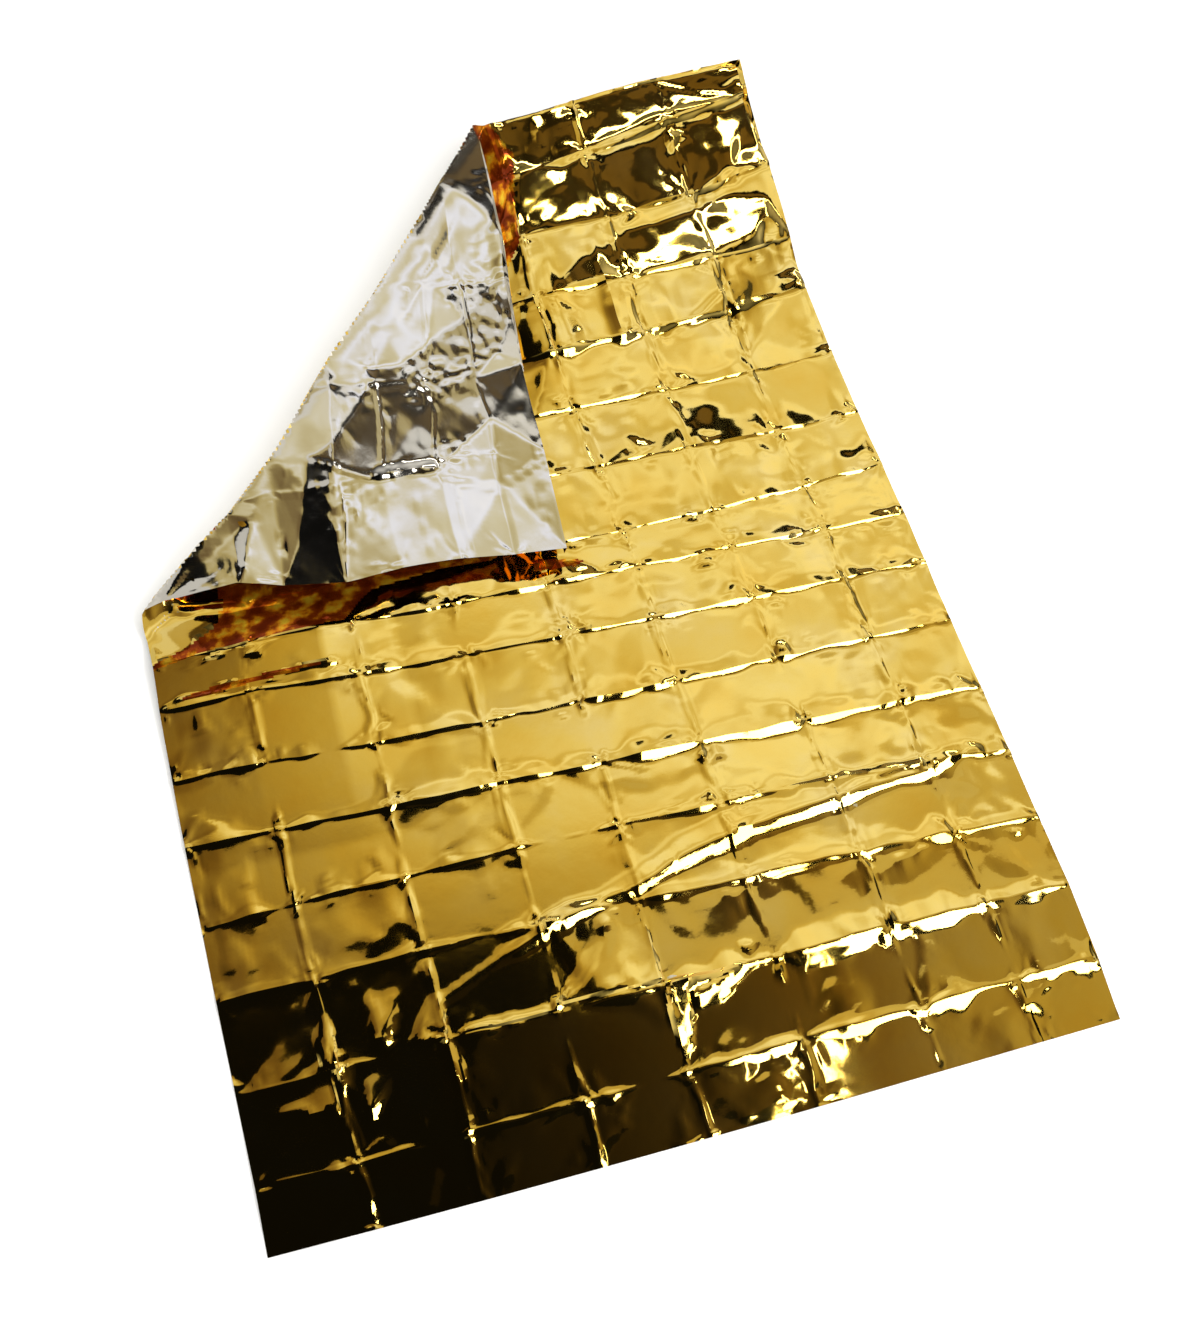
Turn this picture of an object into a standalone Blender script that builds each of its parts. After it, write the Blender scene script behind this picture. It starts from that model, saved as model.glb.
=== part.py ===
"""Emergency foil blanket, opened out with one corner turned over.

One rectangular sheet of thin metallised film, gold on one face and silver on the
other. It was stored folded into 8 x 16 panels, so a grid of storage creases is
left in it. It lies gold face up on a flat surface. The far left corner is folded
over on a soft slanting roll, so the silver face shows there as a three-sided
flap. The far end springs a little off the surface.

Metres, +Z up. X runs across the width, Y along the length, and the near short
edge is at -Y. Z = 0 is the surface that the sheet lies on.
"""

import math

import bmesh
import bpy
from mathutils import Vector

# ---------------------------------------------------------------- driving sizes
SHEET_WIDTH = 1.60  # cut width of the film
SHEET_LENGTH = 2.10  # cut length of the film
COLUMNS = 8  # panels across the width
ROWS = 16  # panels along the length
PANEL_WIDTH = SHEET_WIDTH / COLUMNS
PANEL_LENGTH = SHEET_LENGTH / ROWS
THICKNESS = 0.001  # of the solid; the film itself is far thinner
CREASE_SHARE = 0.30  # share of a panel that slopes up to each of its creases
CENTRE_X = 0.0095  # moves the sheet so that its box is centred on X = Y = 0
CENTRE_Y = 0.012

# Crease lines that run across the sheet, from the near edge to the far edge.
# y_left, y_mid and y_right are where the line lies at column 0, 4 and 8, crease is
# how far it stands up, lift is how far the sheet as a whole is off the surface, and
# shift is how far the line is moved along X from where COLUMN_TABLE puts it.
ROW_TABLE_COLUMNS = (
    "name", "y_left", "y_mid", "y_right", "crease", "lift_mid", "lift_right", "shift_mid", "shift_right",
)
ROW_TABLE = (
    ("near_edge", -1.044, -1.066, -1.078, 0.003, 0.000, 0.000, 0.000, -0.014),
    ("row_1", -0.938, -0.949, -0.955, 0.009, 0.000, 0.000, 0.000, 0.000),
    ("row_2", -0.787, -0.794, -0.809, 0.007, 0.000, 0.000, 0.000, 0.008),
    ("row_3", -0.630, -0.638, -0.668, 0.010, 0.000, 0.000, 0.000, 0.007),
    ("row_4", -0.504, -0.495, -0.528, 0.006, 0.000, 0.000, 0.000, 0.008),
    ("row_5", -0.362, -0.373, -0.390, 0.008, 0.000, 0.000, 0.000, 0.006),
    ("row_6", -0.241, -0.250, -0.243, 0.006, 0.000, 0.000, 0.000, 0.002),
    ("row_7", -0.109, -0.117, -0.112, 0.009, 0.000, 0.000, 0.000, 0.004),
    ("row_8", -0.026, -0.009, -0.001, 0.006, 0.000, 0.000, 0.000, 0.002),
    ("row_9", 0.104, 0.068, 0.117, 0.007, 0.000, 0.000, 0.000, -0.002),
    ("row_10", 0.236, 0.212, 0.242, 0.009, 0.000, 0.000, -0.002, -0.006),
    ("row_11", 0.374, 0.343, 0.388, 0.007, 0.000, 0.000, -0.006, -0.012),
    ("row_12", 0.540, 0.461, 0.549, 0.009, 0.008, 0.010, -0.012, -0.014),
    ("row_13", 0.702, 0.587, 0.662, 0.006, 0.024, 0.030, -0.016, -0.014),
    ("row_14", 0.851, 0.717, 0.841, 0.010, 0.042, 0.052, -0.012, -0.006),
    ("row_15", 0.924, 0.858, 1.023, 0.007, 0.048, 0.060, -0.004, 0.004),
    ("far_edge", 0.906, 0.996, 1.102, 0.003, 0.046, 0.058, 0.000, 0.008),
)

# Crease lines that run along the sheet. x_near, x_mid and x_far are where the line
# lies at row 0, 8 and 16.
COLUMN_TABLE_COLUMNS = ("name", "x_near", "x_mid", "x_far", "crease")
COLUMN_TABLE = (
    ("left_edge", -0.798, -0.751, -0.710, 0.002),
    ("column_1", -0.623, -0.582, -0.471, 0.004),
    ("column_2", -0.439, -0.387, -0.330, 0.005),
    ("column_3", -0.233, -0.188, -0.156, 0.004),
    ("column_4", -0.034, 0.006, 0.032, 0.006),
    ("column_5", 0.186, 0.185, 0.160, 0.004),
    ("column_6", 0.436, 0.391, 0.366, 0.005),
    ("column_7", 0.644, 0.593, 0.573, 0.004),
    ("right_edge", 0.823, 0.783, 0.785, 0.002),
)

# A long slanting ridge that crosses the panel grid, in columns and rows.
RIDGE_COLUMNS = ("name", "column", "row", "height", "half_width")
RIDGE_TABLE = (
    ("ridge_start", 2.90, 2.90, 0.008, 0.030),
    ("ridge_end", 7.60, 4.15, 0.006, 0.030),
)

# The turned-over corner. The fold starts on the far edge at fold_column and ends on
# the left edge at fold_row. The corner comes to rest at corner_x, corner_y.
FOLD_COLUMN = 4.70
FOLD_ROW = 8.70
CORNER_X = 0.045
CORNER_Y = 0.036
CORNER_Z = 0.026
ROLL_WIDTH = 0.060  # film taken up by the soft roll, along the slope of the sheet
ROLL_STEPS = 8
COVERED_CREASE = 0.4  # creases stand this share of their height under the flap
FLAP_RELIEF_REACH = 0.12  # the flap's own creases reach full height this far from the roll

# Half the height of the soft roll, along the fold.
ROLL_COLUMNS = ("name", "along", "half_height")
ROLL_TABLE = (
    ("fold_start", 0.00, 0.007),
    ("first_eighth", 0.12, 0.021),
    ("third", 0.30, 0.030),
    ("half", 0.50, 0.027),
    ("three_quarters", 0.75, 0.017),
    ("fold_end", 1.00, 0.008),
)

# How far the turned edge lies inside the straight line between the ends of the fold.
INSET_COLUMNS = ("name", "along", "inset")
INSET_TABLE = (
    ("fold_start", 0.00, 0.006),
    ("first_fifth", 0.18, 0.046),
    ("third", 0.30, 0.049),
    ("half", 0.50, 0.038),
    ("five_eighths", 0.62, 0.045),
    ("nine_tenths", 0.90, 0.035),
    ("fold_end", 1.00, 0.030),
)
INSET_REACH_BASE = 0.30  # the inset dies away this far from the fold, under the flap
INSET_REACH_FLAP = 0.45  # and this far from it on the flap

# The left edge of the film, on the flap, is drawn up towards the far end here.
DRAWN_COLUMNS = ("name", "row", "drawn_x", "drawn_y")
DRAWN_TABLE = (
    ("fold_start", 8.7, 0.000, 0.000),
    ("row_9", 9.0, 0.014, 0.026),
    ("row_10", 10.0, 0.016, 0.042),
    ("row_11", 11.0, -0.005, 0.027),
    ("row_12", 12.0, -0.008, 0.000),
    ("row_13", 13.0, -0.004, 0.004),
    ("row_14", 14.0, 0.002, 0.006),
    ("far_edge", 16.0, 0.000, 0.000),
)

# How far each crease stands above (+) or below (-) the flap's mean slope.
FLAP_COLUMNS = ("name", "line", "offset")
FLAP_ROW_TABLE = (
    ("row_8", 8, 0.000),
    ("row_9", 9, 0.003),
    ("row_10", 10, -0.003),
    ("row_11", 11, 0.004),
    ("row_12", 12, -0.004),
    ("row_13", 13, 0.006),
    ("row_14", 14, -0.003),
    ("row_15", 15, 0.006),
    ("far_edge", 16, -0.003),
)
FLAP_COLUMN_TABLE = (
    ("left_edge", 0, -0.004),
    ("column_1", 1, 0.005),
    ("column_2", 2, -0.002),
    ("column_3", 3, 0.004),
    ("column_4", 4, 0.000),
    ("column_5", 5, 0.000),
)

FOLD_START = Vector((0.0, FOLD_ROW * PANEL_LENGTH))  # on the left edge
FOLD_END = Vector((FOLD_COLUMN * PANEL_WIDTH, SHEET_LENGTH))  # on the far edge
FOLD_RUN = (FOLD_END - FOLD_START).length
FOLD_ALONG = (FOLD_END - FOLD_START) / FOLD_RUN
FOLD_ACROSS = Vector((-FOLD_ALONG.y, FOLD_ALONG.x))  # points to the corner that turns over
CUT_CORNER = Vector((0.0, SHEET_LENGTH))
CORNER_REACH = (CUT_CORNER - FOLD_START).dot(FOLD_ACROSS)
INWARD = Vector((0.720, -0.694))  # on the surface, square to the fold and under the flap


# ------------------------------------------------------------------- functions
def through_three(t, first, middle, last):
    """Value at t of the parabola through first at 0, middle at 0.5 and last at 1."""
    return (
        first * (1 - t) * (1 - 2 * t)
        + middle * 4 * t * (1 - t)
        + last * t * (2 * t - 1)
    )


def mix(a, b, share):
    return a + (b - a) * share


def between(count, line):
    """The two table rows on either side of a line number, and the share between them."""
    low = max(0, min(count - 2, int(math.floor(line))))
    return low, low + 1, line - low


def tent(line):
    """1 on a crease line, 0 in the flat middle of a panel."""
    away = abs(line - round(line))
    return max(0.0, 1.0 - away / CREASE_SHARE)


def smooth(low, high, value):
    share = max(0.0, min(1.0, (value - low) / (high - low)))
    return share * share * (3 - 2 * share)


def plan(cut):
    """Where a point of the cut film lies on the surface, before any fold."""
    column, row = cut.x / PANEL_WIDTH, cut.y / PANEL_LENGTH
    low, high, share = between(len(ROW_TABLE), row)
    y = mix(
        through_three(column / COLUMNS, *ROW_TABLE[low][1:4]),
        through_three(column / COLUMNS, *ROW_TABLE[high][1:4]),
        share,
    )
    low, high, share = between(len(COLUMN_TABLE), column)
    x = mix(
        through_three(row / ROWS, *COLUMN_TABLE[low][1:4]),
        through_three(row / ROWS, *COLUMN_TABLE[high][1:4]),
        share,
    )
    low, high, share = between(len(ROW_TABLE), row)
    shift_mid = mix(ROW_TABLE[low][7], ROW_TABLE[high][7], share)
    shift_right = mix(ROW_TABLE[low][8], ROW_TABLE[high][8], share)
    x += through_three(column / COLUMNS, 0.0, shift_mid, shift_right)
    return Vector((x, y))


def table_line(table, line, entry=2):
    """Straight-line value of a table column, at a place along its second column."""
    for low, high in zip(table, table[1:]):
        if line <= high[1]:
            share = max(0.0, (line - low[1]) / (high[1] - low[1]))
            return mix(low[entry], high[entry], share)
    return table[-1][entry]


def drawn_in(cut, reach):
    """How far the fold's inset moves a point that is reach or less from the fold."""
    past, along = fold_place(cut)
    share = max(0.0, 1.0 - max(0.0, abs(past) - ROLL_WIDTH / 2) / reach)
    return INWARD * (table_line(INSET_TABLE, along) * share * share * (3 - 2 * share))


def lift(cut):
    column, row = cut.x / PANEL_WIDTH, cut.y / PANEL_LENGTH
    low, high, share = between(len(ROW_TABLE), row)
    mid = mix(ROW_TABLE[low][5], ROW_TABLE[high][5], share)
    right = mix(ROW_TABLE[low][6], ROW_TABLE[high][6], share)
    return mid + (right - mid) * (column - COLUMNS / 2) / (COLUMNS / 2)


def ridge(cut):
    start = Vector((RIDGE_TABLE[0][1] * PANEL_WIDTH, RIDGE_TABLE[0][2] * PANEL_LENGTH))
    end = Vector((RIDGE_TABLE[1][1] * PANEL_WIDTH, RIDGE_TABLE[1][2] * PANEL_LENGTH))
    run = (end - start).length
    along = (end - start) / run
    at = (cut - start).dot(along) / run
    off = abs((cut - start).dot(Vector((-along.y, along.x))))
    height = mix(RIDGE_TABLE[0][3], RIDGE_TABLE[1][3], max(0.0, min(1.0, at)))
    ends = smooth(-0.06, 0.04, at) * (1 - smooth(0.96, 1.06, at))
    return height * ends * max(0.0, 1.0 - off / RIDGE_TABLE[0][4])


def fold_place(cut):
    """Distance past the fold line (+ on the turned-over side) and share of the way along it."""
    from_start = cut - FOLD_START
    return from_start.dot(FOLD_ACROSS), from_start.dot(FOLD_ALONG) / FOLD_RUN


def covered(cut):
    """0 out in the open, 1 where the turned-over corner lies on top."""
    past, _ = fold_place(cut)
    mirrored = cut - FOLD_ACROSS * (2 * past)
    inside = min(mirrored.x, SHEET_LENGTH - mirrored.y)
    return smooth(-0.10, 0.0, inside)


def base_height(cut):
    column, row = cut.x / PANEL_WIDTH, cut.y / PANEL_LENGTH
    row_crease = ROW_TABLE[max(0, min(ROWS, round(row)))][4] * tent(row)
    column_crease = COLUMN_TABLE[max(0, min(COLUMNS, round(column)))][4] * tent(column)
    creases = row_crease + column_crease + ridge(cut)
    share = mix(1.0, COVERED_CREASE, covered(cut))
    return THICKNESS / 2 + lift(cut) + creases * share


def roll_half_height(along):
    return table_line(ROLL_TABLE, along)


def flap_plan(cut):
    """The flap lies as the flat triangle of fold start, fold end and corner."""
    past, along = fold_place(cut)
    corner_past, corner_along = fold_place(CUT_CORNER)
    share = past / corner_past
    on_fold = (along - corner_along * share)
    start, end = plan(FOLD_START), plan(FOLD_END)
    corner = Vector((CORNER_X, CORNER_Y))
    drawn = Vector([table_line(DRAWN_TABLE, cut.y / PANEL_LENGTH, entry) for entry in (2, 3)])
    drawn *= max(0.0, 1.0 - cut.x / (1.4 * PANEL_WIDTH))
    flat = start * (1 - share - on_fold) + end * on_fold + corner * share
    return flat + drawn + drawn_in(cut, INSET_REACH_FLAP)


def base_plan(cut):
    return plan(cut) + drawn_in(cut, INSET_REACH_BASE)


def flap_height(cut):
    past, along = fold_place(cut)
    foot = FOLD_START + FOLD_ALONG * (along * FOLD_RUN) - FOLD_ACROSS * (ROLL_WIDTH / 2)
    top_of_roll = base_height(foot) + 2 * roll_half_height(along)
    share = max(0.0, (past - ROLL_WIDTH / 2) / (CORNER_REACH - ROLL_WIDTH / 2))
    relief = table_line(FLAP_ROW_TABLE, cut.y / PANEL_LENGTH)
    relief += table_line(FLAP_COLUMN_TABLE, cut.x / PANEL_WIDTH)
    relief *= max(0.0, min(1.0, (past - ROLL_WIDTH / 2) / FLAP_RELIEF_REACH))
    return mix(top_of_roll, CORNER_Z, share) + relief


def place(cut):
    """Position of a point of the cut film, and which way its gold face looks."""
    past, along = fold_place(cut)
    half = ROLL_WIDTH / 2
    if past <= -half:
        flat = base_plan(cut)
        return Vector((flat.x, flat.y, base_height(cut))), Vector((0, 0, 1))
    if past >= half:
        flat = flap_plan(cut)
        return Vector((flat.x, flat.y, flap_height(cut))), Vector((0, 0, -1))
    turn = math.pi / 2 * past / half
    lower = cut - FOLD_ACROSS * (past + half)
    upper = cut - FOLD_ACROSS * (past - half)
    share = (1 + math.sin(turn)) / 2
    flat = base_plan(lower) * (1 - share) + flap_plan(upper) * share
    flat -= INWARD * (half * math.cos(turn))
    height = mix(base_height(lower), flap_height(upper), share)
    rise = max(0.002, (flap_height(upper) - base_height(lower)) / 2)
    side = math.cos(turn) / half
    gold = Vector((INWARD.x * side, INWARD.y * side, -math.sin(turn) / rise)).normalized()
    return Vector((flat.x, flat.y, height)), gold


def cut_along(bm, point, normal):
    """Cut every face that a straight line on the flat film crosses."""
    bmesh.ops.bisect_plane(
        bm,
        geom=bm.verts[:] + bm.edges[:] + bm.faces[:],
        dist=1e-6,
        plane_co=(point.x, point.y, 0.0),
        plane_no=(normal.x, normal.y, 0.0),
    )


def lines(count, pitch):
    """Every crease line, and the lines where its slope meets the flat of the panel."""
    found = []
    for number in range(count):
        found += [number * pitch, (number + CREASE_SHARE) * pitch, (number + 1 - CREASE_SHARE) * pitch]
    return found + [count * pitch]


def material(name, colour, roughness):
    mat = bpy.data.materials.new(name)
    mat.use_nodes = True
    shader = mat.node_tree.nodes["Principled BSDF"]
    shader.inputs["Base Color"].default_value = (*colour, 1.0)
    shader.inputs["Metallic"].default_value = 1.0
    shader.inputs["Roughness"].default_value = roughness
    return mat


def flat_film():
    """The cut film as one flat sheet of faces, with an edge on every fold line."""
    bm = bmesh.new()
    across = lines(COLUMNS, PANEL_WIDTH)
    along = lines(ROWS, PANEL_LENGTH)
    grid = [[bm.verts.new((x, y, 0.0)) for x in across] for y in along]
    for low, high in zip(grid, grid[1:]):
        for a, b, c, d in zip(low, low[1:], high[1:], high):
            bm.faces.new((a, b, c, d))
    for step in range(ROLL_STEPS + 1):
        past = ROLL_WIDTH * (step / ROLL_STEPS - 0.5)
        cut_along(bm, FOLD_START + FOLD_ACROSS * past, FOLD_ACROSS)
    bmesh.ops.triangulate(bm, faces=bm.faces[:])
    return bm


def foil_sheet():
    bm = flat_film()
    bm.verts.index_update()
    spots = [place(Vector((v.co.x, v.co.y))) for v in bm.verts]
    rim = [e for e in bm.edges if e.is_boundary]
    rim_pairs = []
    for edge in rim:
        face = edge.link_faces[0]
        order = [v.index for v in face.verts]
        a, b = edge.verts[0].index, edge.verts[1].index
        if order[(order.index(a) + 1) % 3] != b:
            a, b = b, a
        rim_pairs.append((a, b))
    faces = [tuple(v.index for v in f.verts) for f in bm.faces]
    bm.free()

    centre = Vector((CENTRE_X, CENTRE_Y, 0.0))
    gold = [spot - centre + up * (THICKNESS / 2) for spot, up in spots]
    silver = [spot - centre - up * (THICKNESS / 2) for spot, up in spots]
    count = len(gold)
    shell = faces + [tuple(i + count for i in reversed(f)) for f in faces]
    for a, b in rim_pairs:
        shell += [(b, a, a + count), (b, a + count, b + count)]
    mesh = bpy.data.meshes.new("foil_sheet")
    mesh.from_pydata([tuple(p) for p in gold + silver], [], shell)
    mesh.validate()
    mesh.materials.append(material("gold_face", (0.80, 0.54, 0.10), 0.18))
    mesh.materials.append(material("silver_face", (0.78, 0.76, 0.72), 0.20))
    for number, polygon in enumerate(mesh.polygons):
        polygon.material_index = 1 if len(faces) <= number < 2 * len(faces) else 0
    mesh.update()
    sheet = bpy.data.objects.new("foil_sheet", mesh)
    bpy.context.scene.collection.objects.link(sheet)
    return sheet


# ----------------------------------------------------------------------- build
for old in list(bpy.data.objects):
    bpy.data.objects.remove(old, do_unlink=True)
foil_sheet()
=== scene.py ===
"""Emergency foil blanket: the finish and the fine folds of the film, the floor, the lights and the camera."""
import math

import bpy
import numpy as np
from mathutils import Matrix, Vector
from mathutils.bvhtree import BVHTree
from mathutils.geometry import delaunay_2d_cdt


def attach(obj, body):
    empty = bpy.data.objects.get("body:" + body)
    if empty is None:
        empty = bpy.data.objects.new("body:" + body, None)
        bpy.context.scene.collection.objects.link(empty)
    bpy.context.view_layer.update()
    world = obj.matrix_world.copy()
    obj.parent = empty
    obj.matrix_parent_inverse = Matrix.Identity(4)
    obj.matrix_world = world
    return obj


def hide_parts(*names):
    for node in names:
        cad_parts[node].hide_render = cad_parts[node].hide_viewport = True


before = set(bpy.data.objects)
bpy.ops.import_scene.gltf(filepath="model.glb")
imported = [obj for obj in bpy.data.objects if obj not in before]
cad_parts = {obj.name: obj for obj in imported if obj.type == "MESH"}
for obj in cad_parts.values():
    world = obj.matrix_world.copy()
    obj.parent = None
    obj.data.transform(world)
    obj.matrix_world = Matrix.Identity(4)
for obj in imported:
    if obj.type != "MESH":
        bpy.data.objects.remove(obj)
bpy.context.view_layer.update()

# ------------------------------------------------------------------ film sizes
# The same cut film, creases and turned-over corner as in the part's source. Metres.
SHEET_WIDTH, SHEET_LENGTH = 1.60, 2.10
COLUMNS, ROWS = 8, 16
PANEL_WIDTH, PANEL_LENGTH = SHEET_WIDTH / COLUMNS, SHEET_LENGTH / ROWS
CENTRE = np.array((0.0095, 0.012, 0.0))
FILM = 0.0004  # thickness shown; the real film is far thinner
REST = 0.0006  # lowest that the middle of the film lies

# name, y_left, y_mid, y_right, crease, lift_mid, lift_right, shift_mid, shift_right
ROW_TABLE = (
    ("near_edge", -1.044, -1.066, -1.078, 0.003, 0.000, 0.000, 0.000, -0.014),
    ("row_1", -0.938, -0.949, -0.955, 0.009, 0.000, 0.000, 0.000, 0.000),
    ("row_2", -0.787, -0.794, -0.809, 0.007, 0.000, 0.000, 0.000, 0.008),
    ("row_3", -0.630, -0.638, -0.668, 0.010, 0.000, 0.000, 0.000, 0.007),
    ("row_4", -0.504, -0.495, -0.528, 0.006, 0.000, 0.000, 0.000, 0.008),
    ("row_5", -0.362, -0.373, -0.390, 0.008, 0.000, 0.000, 0.000, 0.006),
    ("row_6", -0.241, -0.250, -0.243, 0.006, 0.000, 0.000, 0.000, 0.002),
    ("row_7", -0.109, -0.117, -0.112, 0.009, 0.000, 0.000, 0.000, 0.004),
    ("row_8", -0.026, -0.009, -0.001, 0.006, 0.000, 0.000, 0.000, 0.002),
    ("row_9", 0.104, 0.068, 0.117, 0.007, 0.000, 0.000, 0.000, -0.002),
    ("row_10", 0.236, 0.212, 0.242, 0.009, 0.000, 0.000, -0.002, -0.006),
    ("row_11", 0.374, 0.343, 0.388, 0.007, 0.000, 0.000, -0.006, -0.012),
    ("row_12", 0.540, 0.461, 0.549, 0.009, 0.008, 0.010, -0.012, -0.014),
    ("row_13", 0.702, 0.587, 0.662, 0.006, 0.024, 0.030, -0.016, -0.014),
    ("row_14", 0.851, 0.717, 0.841, 0.010, 0.042, 0.052, -0.012, -0.006),
    ("row_15", 0.924, 0.858, 1.023, 0.007, 0.048, 0.060, -0.004, 0.004),
    ("far_edge", 0.906, 0.996, 1.102, 0.003, 0.046, 0.058, 0.000, 0.008),
)
# name, x_near, x_mid, x_far, crease
COLUMN_TABLE = (
    ("left_edge", -0.798, -0.751, -0.710, 0.002),
    ("column_1", -0.623, -0.582, -0.471, 0.004),
    ("column_2", -0.439, -0.387, -0.330, 0.005),
    ("column_3", -0.233, -0.188, -0.156, 0.004),
    ("column_4", -0.034, 0.006, 0.032, 0.006),
    ("column_5", 0.186, 0.185, 0.160, 0.004),
    ("column_6", 0.436, 0.391, 0.366, 0.005),
    ("column_7", 0.644, 0.593, 0.573, 0.004),
    ("right_edge", 0.823, 0.783, 0.785, 0.002),
)
FOLD_COLUMN, FOLD_ROW = 4.70, 8.70
CORNER = np.array((0.045, 0.036, 0.026))
ROLL_WIDTH = 0.060
ROLL_ALONG = (0.00, 0.12, 0.30, 0.50, 0.75, 1.00)
ROLL_HALF_HEIGHT = (0.007, 0.021, 0.030, 0.027, 0.017, 0.008)
INSET_ALONG = (0.00, 0.18, 0.30, 0.50, 0.62, 0.90, 1.00)
INSET_BY = (0.006, 0.046, 0.049, 0.038, 0.045, 0.035, 0.030)
INSET_REACH_BASE, INSET_REACH_FLAP = 0.30, 0.45
DRAWN_ROW = (8.7, 9.0, 10.0, 11.0, 12.0, 13.0, 14.0, 16.0)
DRAWN_X = (0.000, 0.014, 0.016, -0.005, -0.008, -0.004, 0.002, 0.000)
DRAWN_Y = (0.000, 0.026, 0.042, 0.027, 0.000, 0.004, 0.006, 0.000)
CAMERA_TURN = (2.714118648116123, -0.3599392439463603, 0.44086445261399654)  # rotation vector, world to lens
CAMERA_MOVE = Vector((-0.10435255999734162, -0.15647272921011793, 3.584206867827073))
TO_LENS = Matrix.Rotation(Vector(CAMERA_TURN).length, 3, Vector(CAMERA_TURN).normalized())
EYE = -(TO_LENS.transposed() @ CAMERA_MOVE) - Vector(CENTRE)
LIGHTS_AT = 3.0  # height of the lights
FOLD_START = np.array((0.0, FOLD_ROW * PANEL_LENGTH))
FOLD_END = np.array((FOLD_COLUMN * PANEL_WIDTH, SHEET_LENGTH))
FOLD_RUN = float(np.hypot(*(FOLD_END - FOLD_START)))
FOLD_ALONG = (FOLD_END - FOLD_START) / FOLD_RUN
FOLD_ACROSS = np.array((-FOLD_ALONG[1], FOLD_ALONG[0]))
INWARD = np.array((0.720, -0.694))


# ------------------------------------------------------------- the film's plan
def mix(a, b, share):
    return a + (b - a) * share


def smooth(low, high, value):
    share = np.clip((value - low) / (high - low), 0.0, 1.0)
    return share * share * (3 - 2 * share)


def through_three(t, first, middle, last):
    return first * (1 - t) * (1 - 2 * t) + middle * 4 * t * (1 - t) + last * t * (2 * t - 1)


def between_lines(table, at, across):
    """Table curves through three points each, at share across, blended at line number at."""
    rows = np.array([row[1:4] for row in table])
    low = np.clip(np.floor(at).astype(int), 0, len(table) - 2)
    first = through_three(across, *np.moveaxis(rows[low], -1, 0))
    second = through_three(across, *np.moveaxis(rows[low + 1], -1, 0))
    return mix(first, second, at - low)


def plan(u, v):
    column, row = u / PANEL_WIDTH, v / PANEL_LENGTH
    x, y = between_lines(COLUMN_TABLE, column, row / ROWS), between_lines(ROW_TABLE, row, column / COLUMNS)
    shift_mid = np.interp(row, range(ROWS + 1), [r[7] for r in ROW_TABLE])
    shift_right = np.interp(row, range(ROWS + 1), [r[8] for r in ROW_TABLE])
    return np.stack((x + through_three(column / COLUMNS, 0.0, shift_mid, shift_right), y), -1)


def lift(u, v):
    column, row = u / PANEL_WIDTH, v / PANEL_LENGTH
    mid = np.interp(row, range(ROWS + 1), [r[5] for r in ROW_TABLE])
    right = np.interp(row, range(ROWS + 1), [r[6] for r in ROW_TABLE])
    return mid + (right - mid) * (column - COLUMNS / 2) / (COLUMNS / 2)


def fold_place(u, v):
    x, y = u - FOLD_START[0], v - FOLD_START[1]
    return x * FOLD_ACROSS[0] + y * FOLD_ACROSS[1], (x * FOLD_ALONG[0] + y * FOLD_ALONG[1]) / FOLD_RUN


def inset(u, v, reach):
    past, along = fold_place(u, v)
    share = np.clip(1.0 - np.maximum(0.0, np.abs(past) - ROLL_WIDTH / 2) / reach, 0.0, 1.0)
    by = np.interp(along, INSET_ALONG, INSET_BY) * share * share * (3 - 2 * share)
    return by[..., None] * INWARD


def base_plan(u, v):
    return plan(u, v) + inset(u, v, INSET_REACH_BASE)


# Next to the turned-over corner the sheet rises to row 8 and then falls away under the flap.
HUMP_HEIGHT = 0.024
HUMP_COLUMN, HUMP_AT_COLUMN = (0.0, 0.9, 1.7, 2.05, 2.4), (0.60, 1.0, 1.0, 0.5, 0.0)
HUMP_ROW, HUMP_AT_ROW = (4.6, 6.0, 7.0, 7.95, 8.75, 9.0), (0.0, 0.30, 0.62, 1.0, 0.04, 0.0)


def base_height(u, v):
    hump = np.interp(u / PANEL_WIDTH, HUMP_COLUMN, HUMP_AT_COLUMN) * np.interp(v / PANEL_LENGTH, HUMP_ROW, HUMP_AT_ROW)
    return REST + lift(u, v) + HUMP_HEIGHT * hump


def flap_plan(u, v):
    past, along = fold_place(u, v)
    corner_past, corner_along = fold_place(0.0, SHEET_LENGTH)
    share = past / corner_past
    on_fold = along - corner_along * share
    start, end = (plan(np.array(p[0]), np.array(p[1])) for p in (FOLD_START, FOLD_END))
    flat = start * (1 - share - on_fold)[..., None] + end * on_fold[..., None] + CORNER[:2] * share[..., None]
    row = v / PANEL_LENGTH
    drawn = np.stack((np.interp(row, DRAWN_ROW, DRAWN_X), np.interp(row, DRAWN_ROW, DRAWN_Y)), -1)
    drawn = drawn * np.clip(1.0 - u / (1.4 * PANEL_WIDTH), 0.0, 1.0)[..., None]
    return flat + drawn + inset(u, v, INSET_REACH_FLAP)


def roll_half_height(along):
    return np.interp(along, ROLL_ALONG, ROLL_HALF_HEIGHT)


def flap_height(u, v):
    past, along = fold_place(u, v)
    foot = FOLD_START + FOLD_ALONG * (along * FOLD_RUN)[..., None] - FOLD_ACROSS * (ROLL_WIDTH / 2)
    top = base_height(foot[..., 0], foot[..., 1]) + 2 * roll_half_height(along)
    reach = fold_place(0.0, SHEET_LENGTH)[0] - ROLL_WIDTH / 2
    return mix(top, CORNER[2], np.maximum(0.0, (past - ROLL_WIDTH / 2) / reach))


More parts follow.
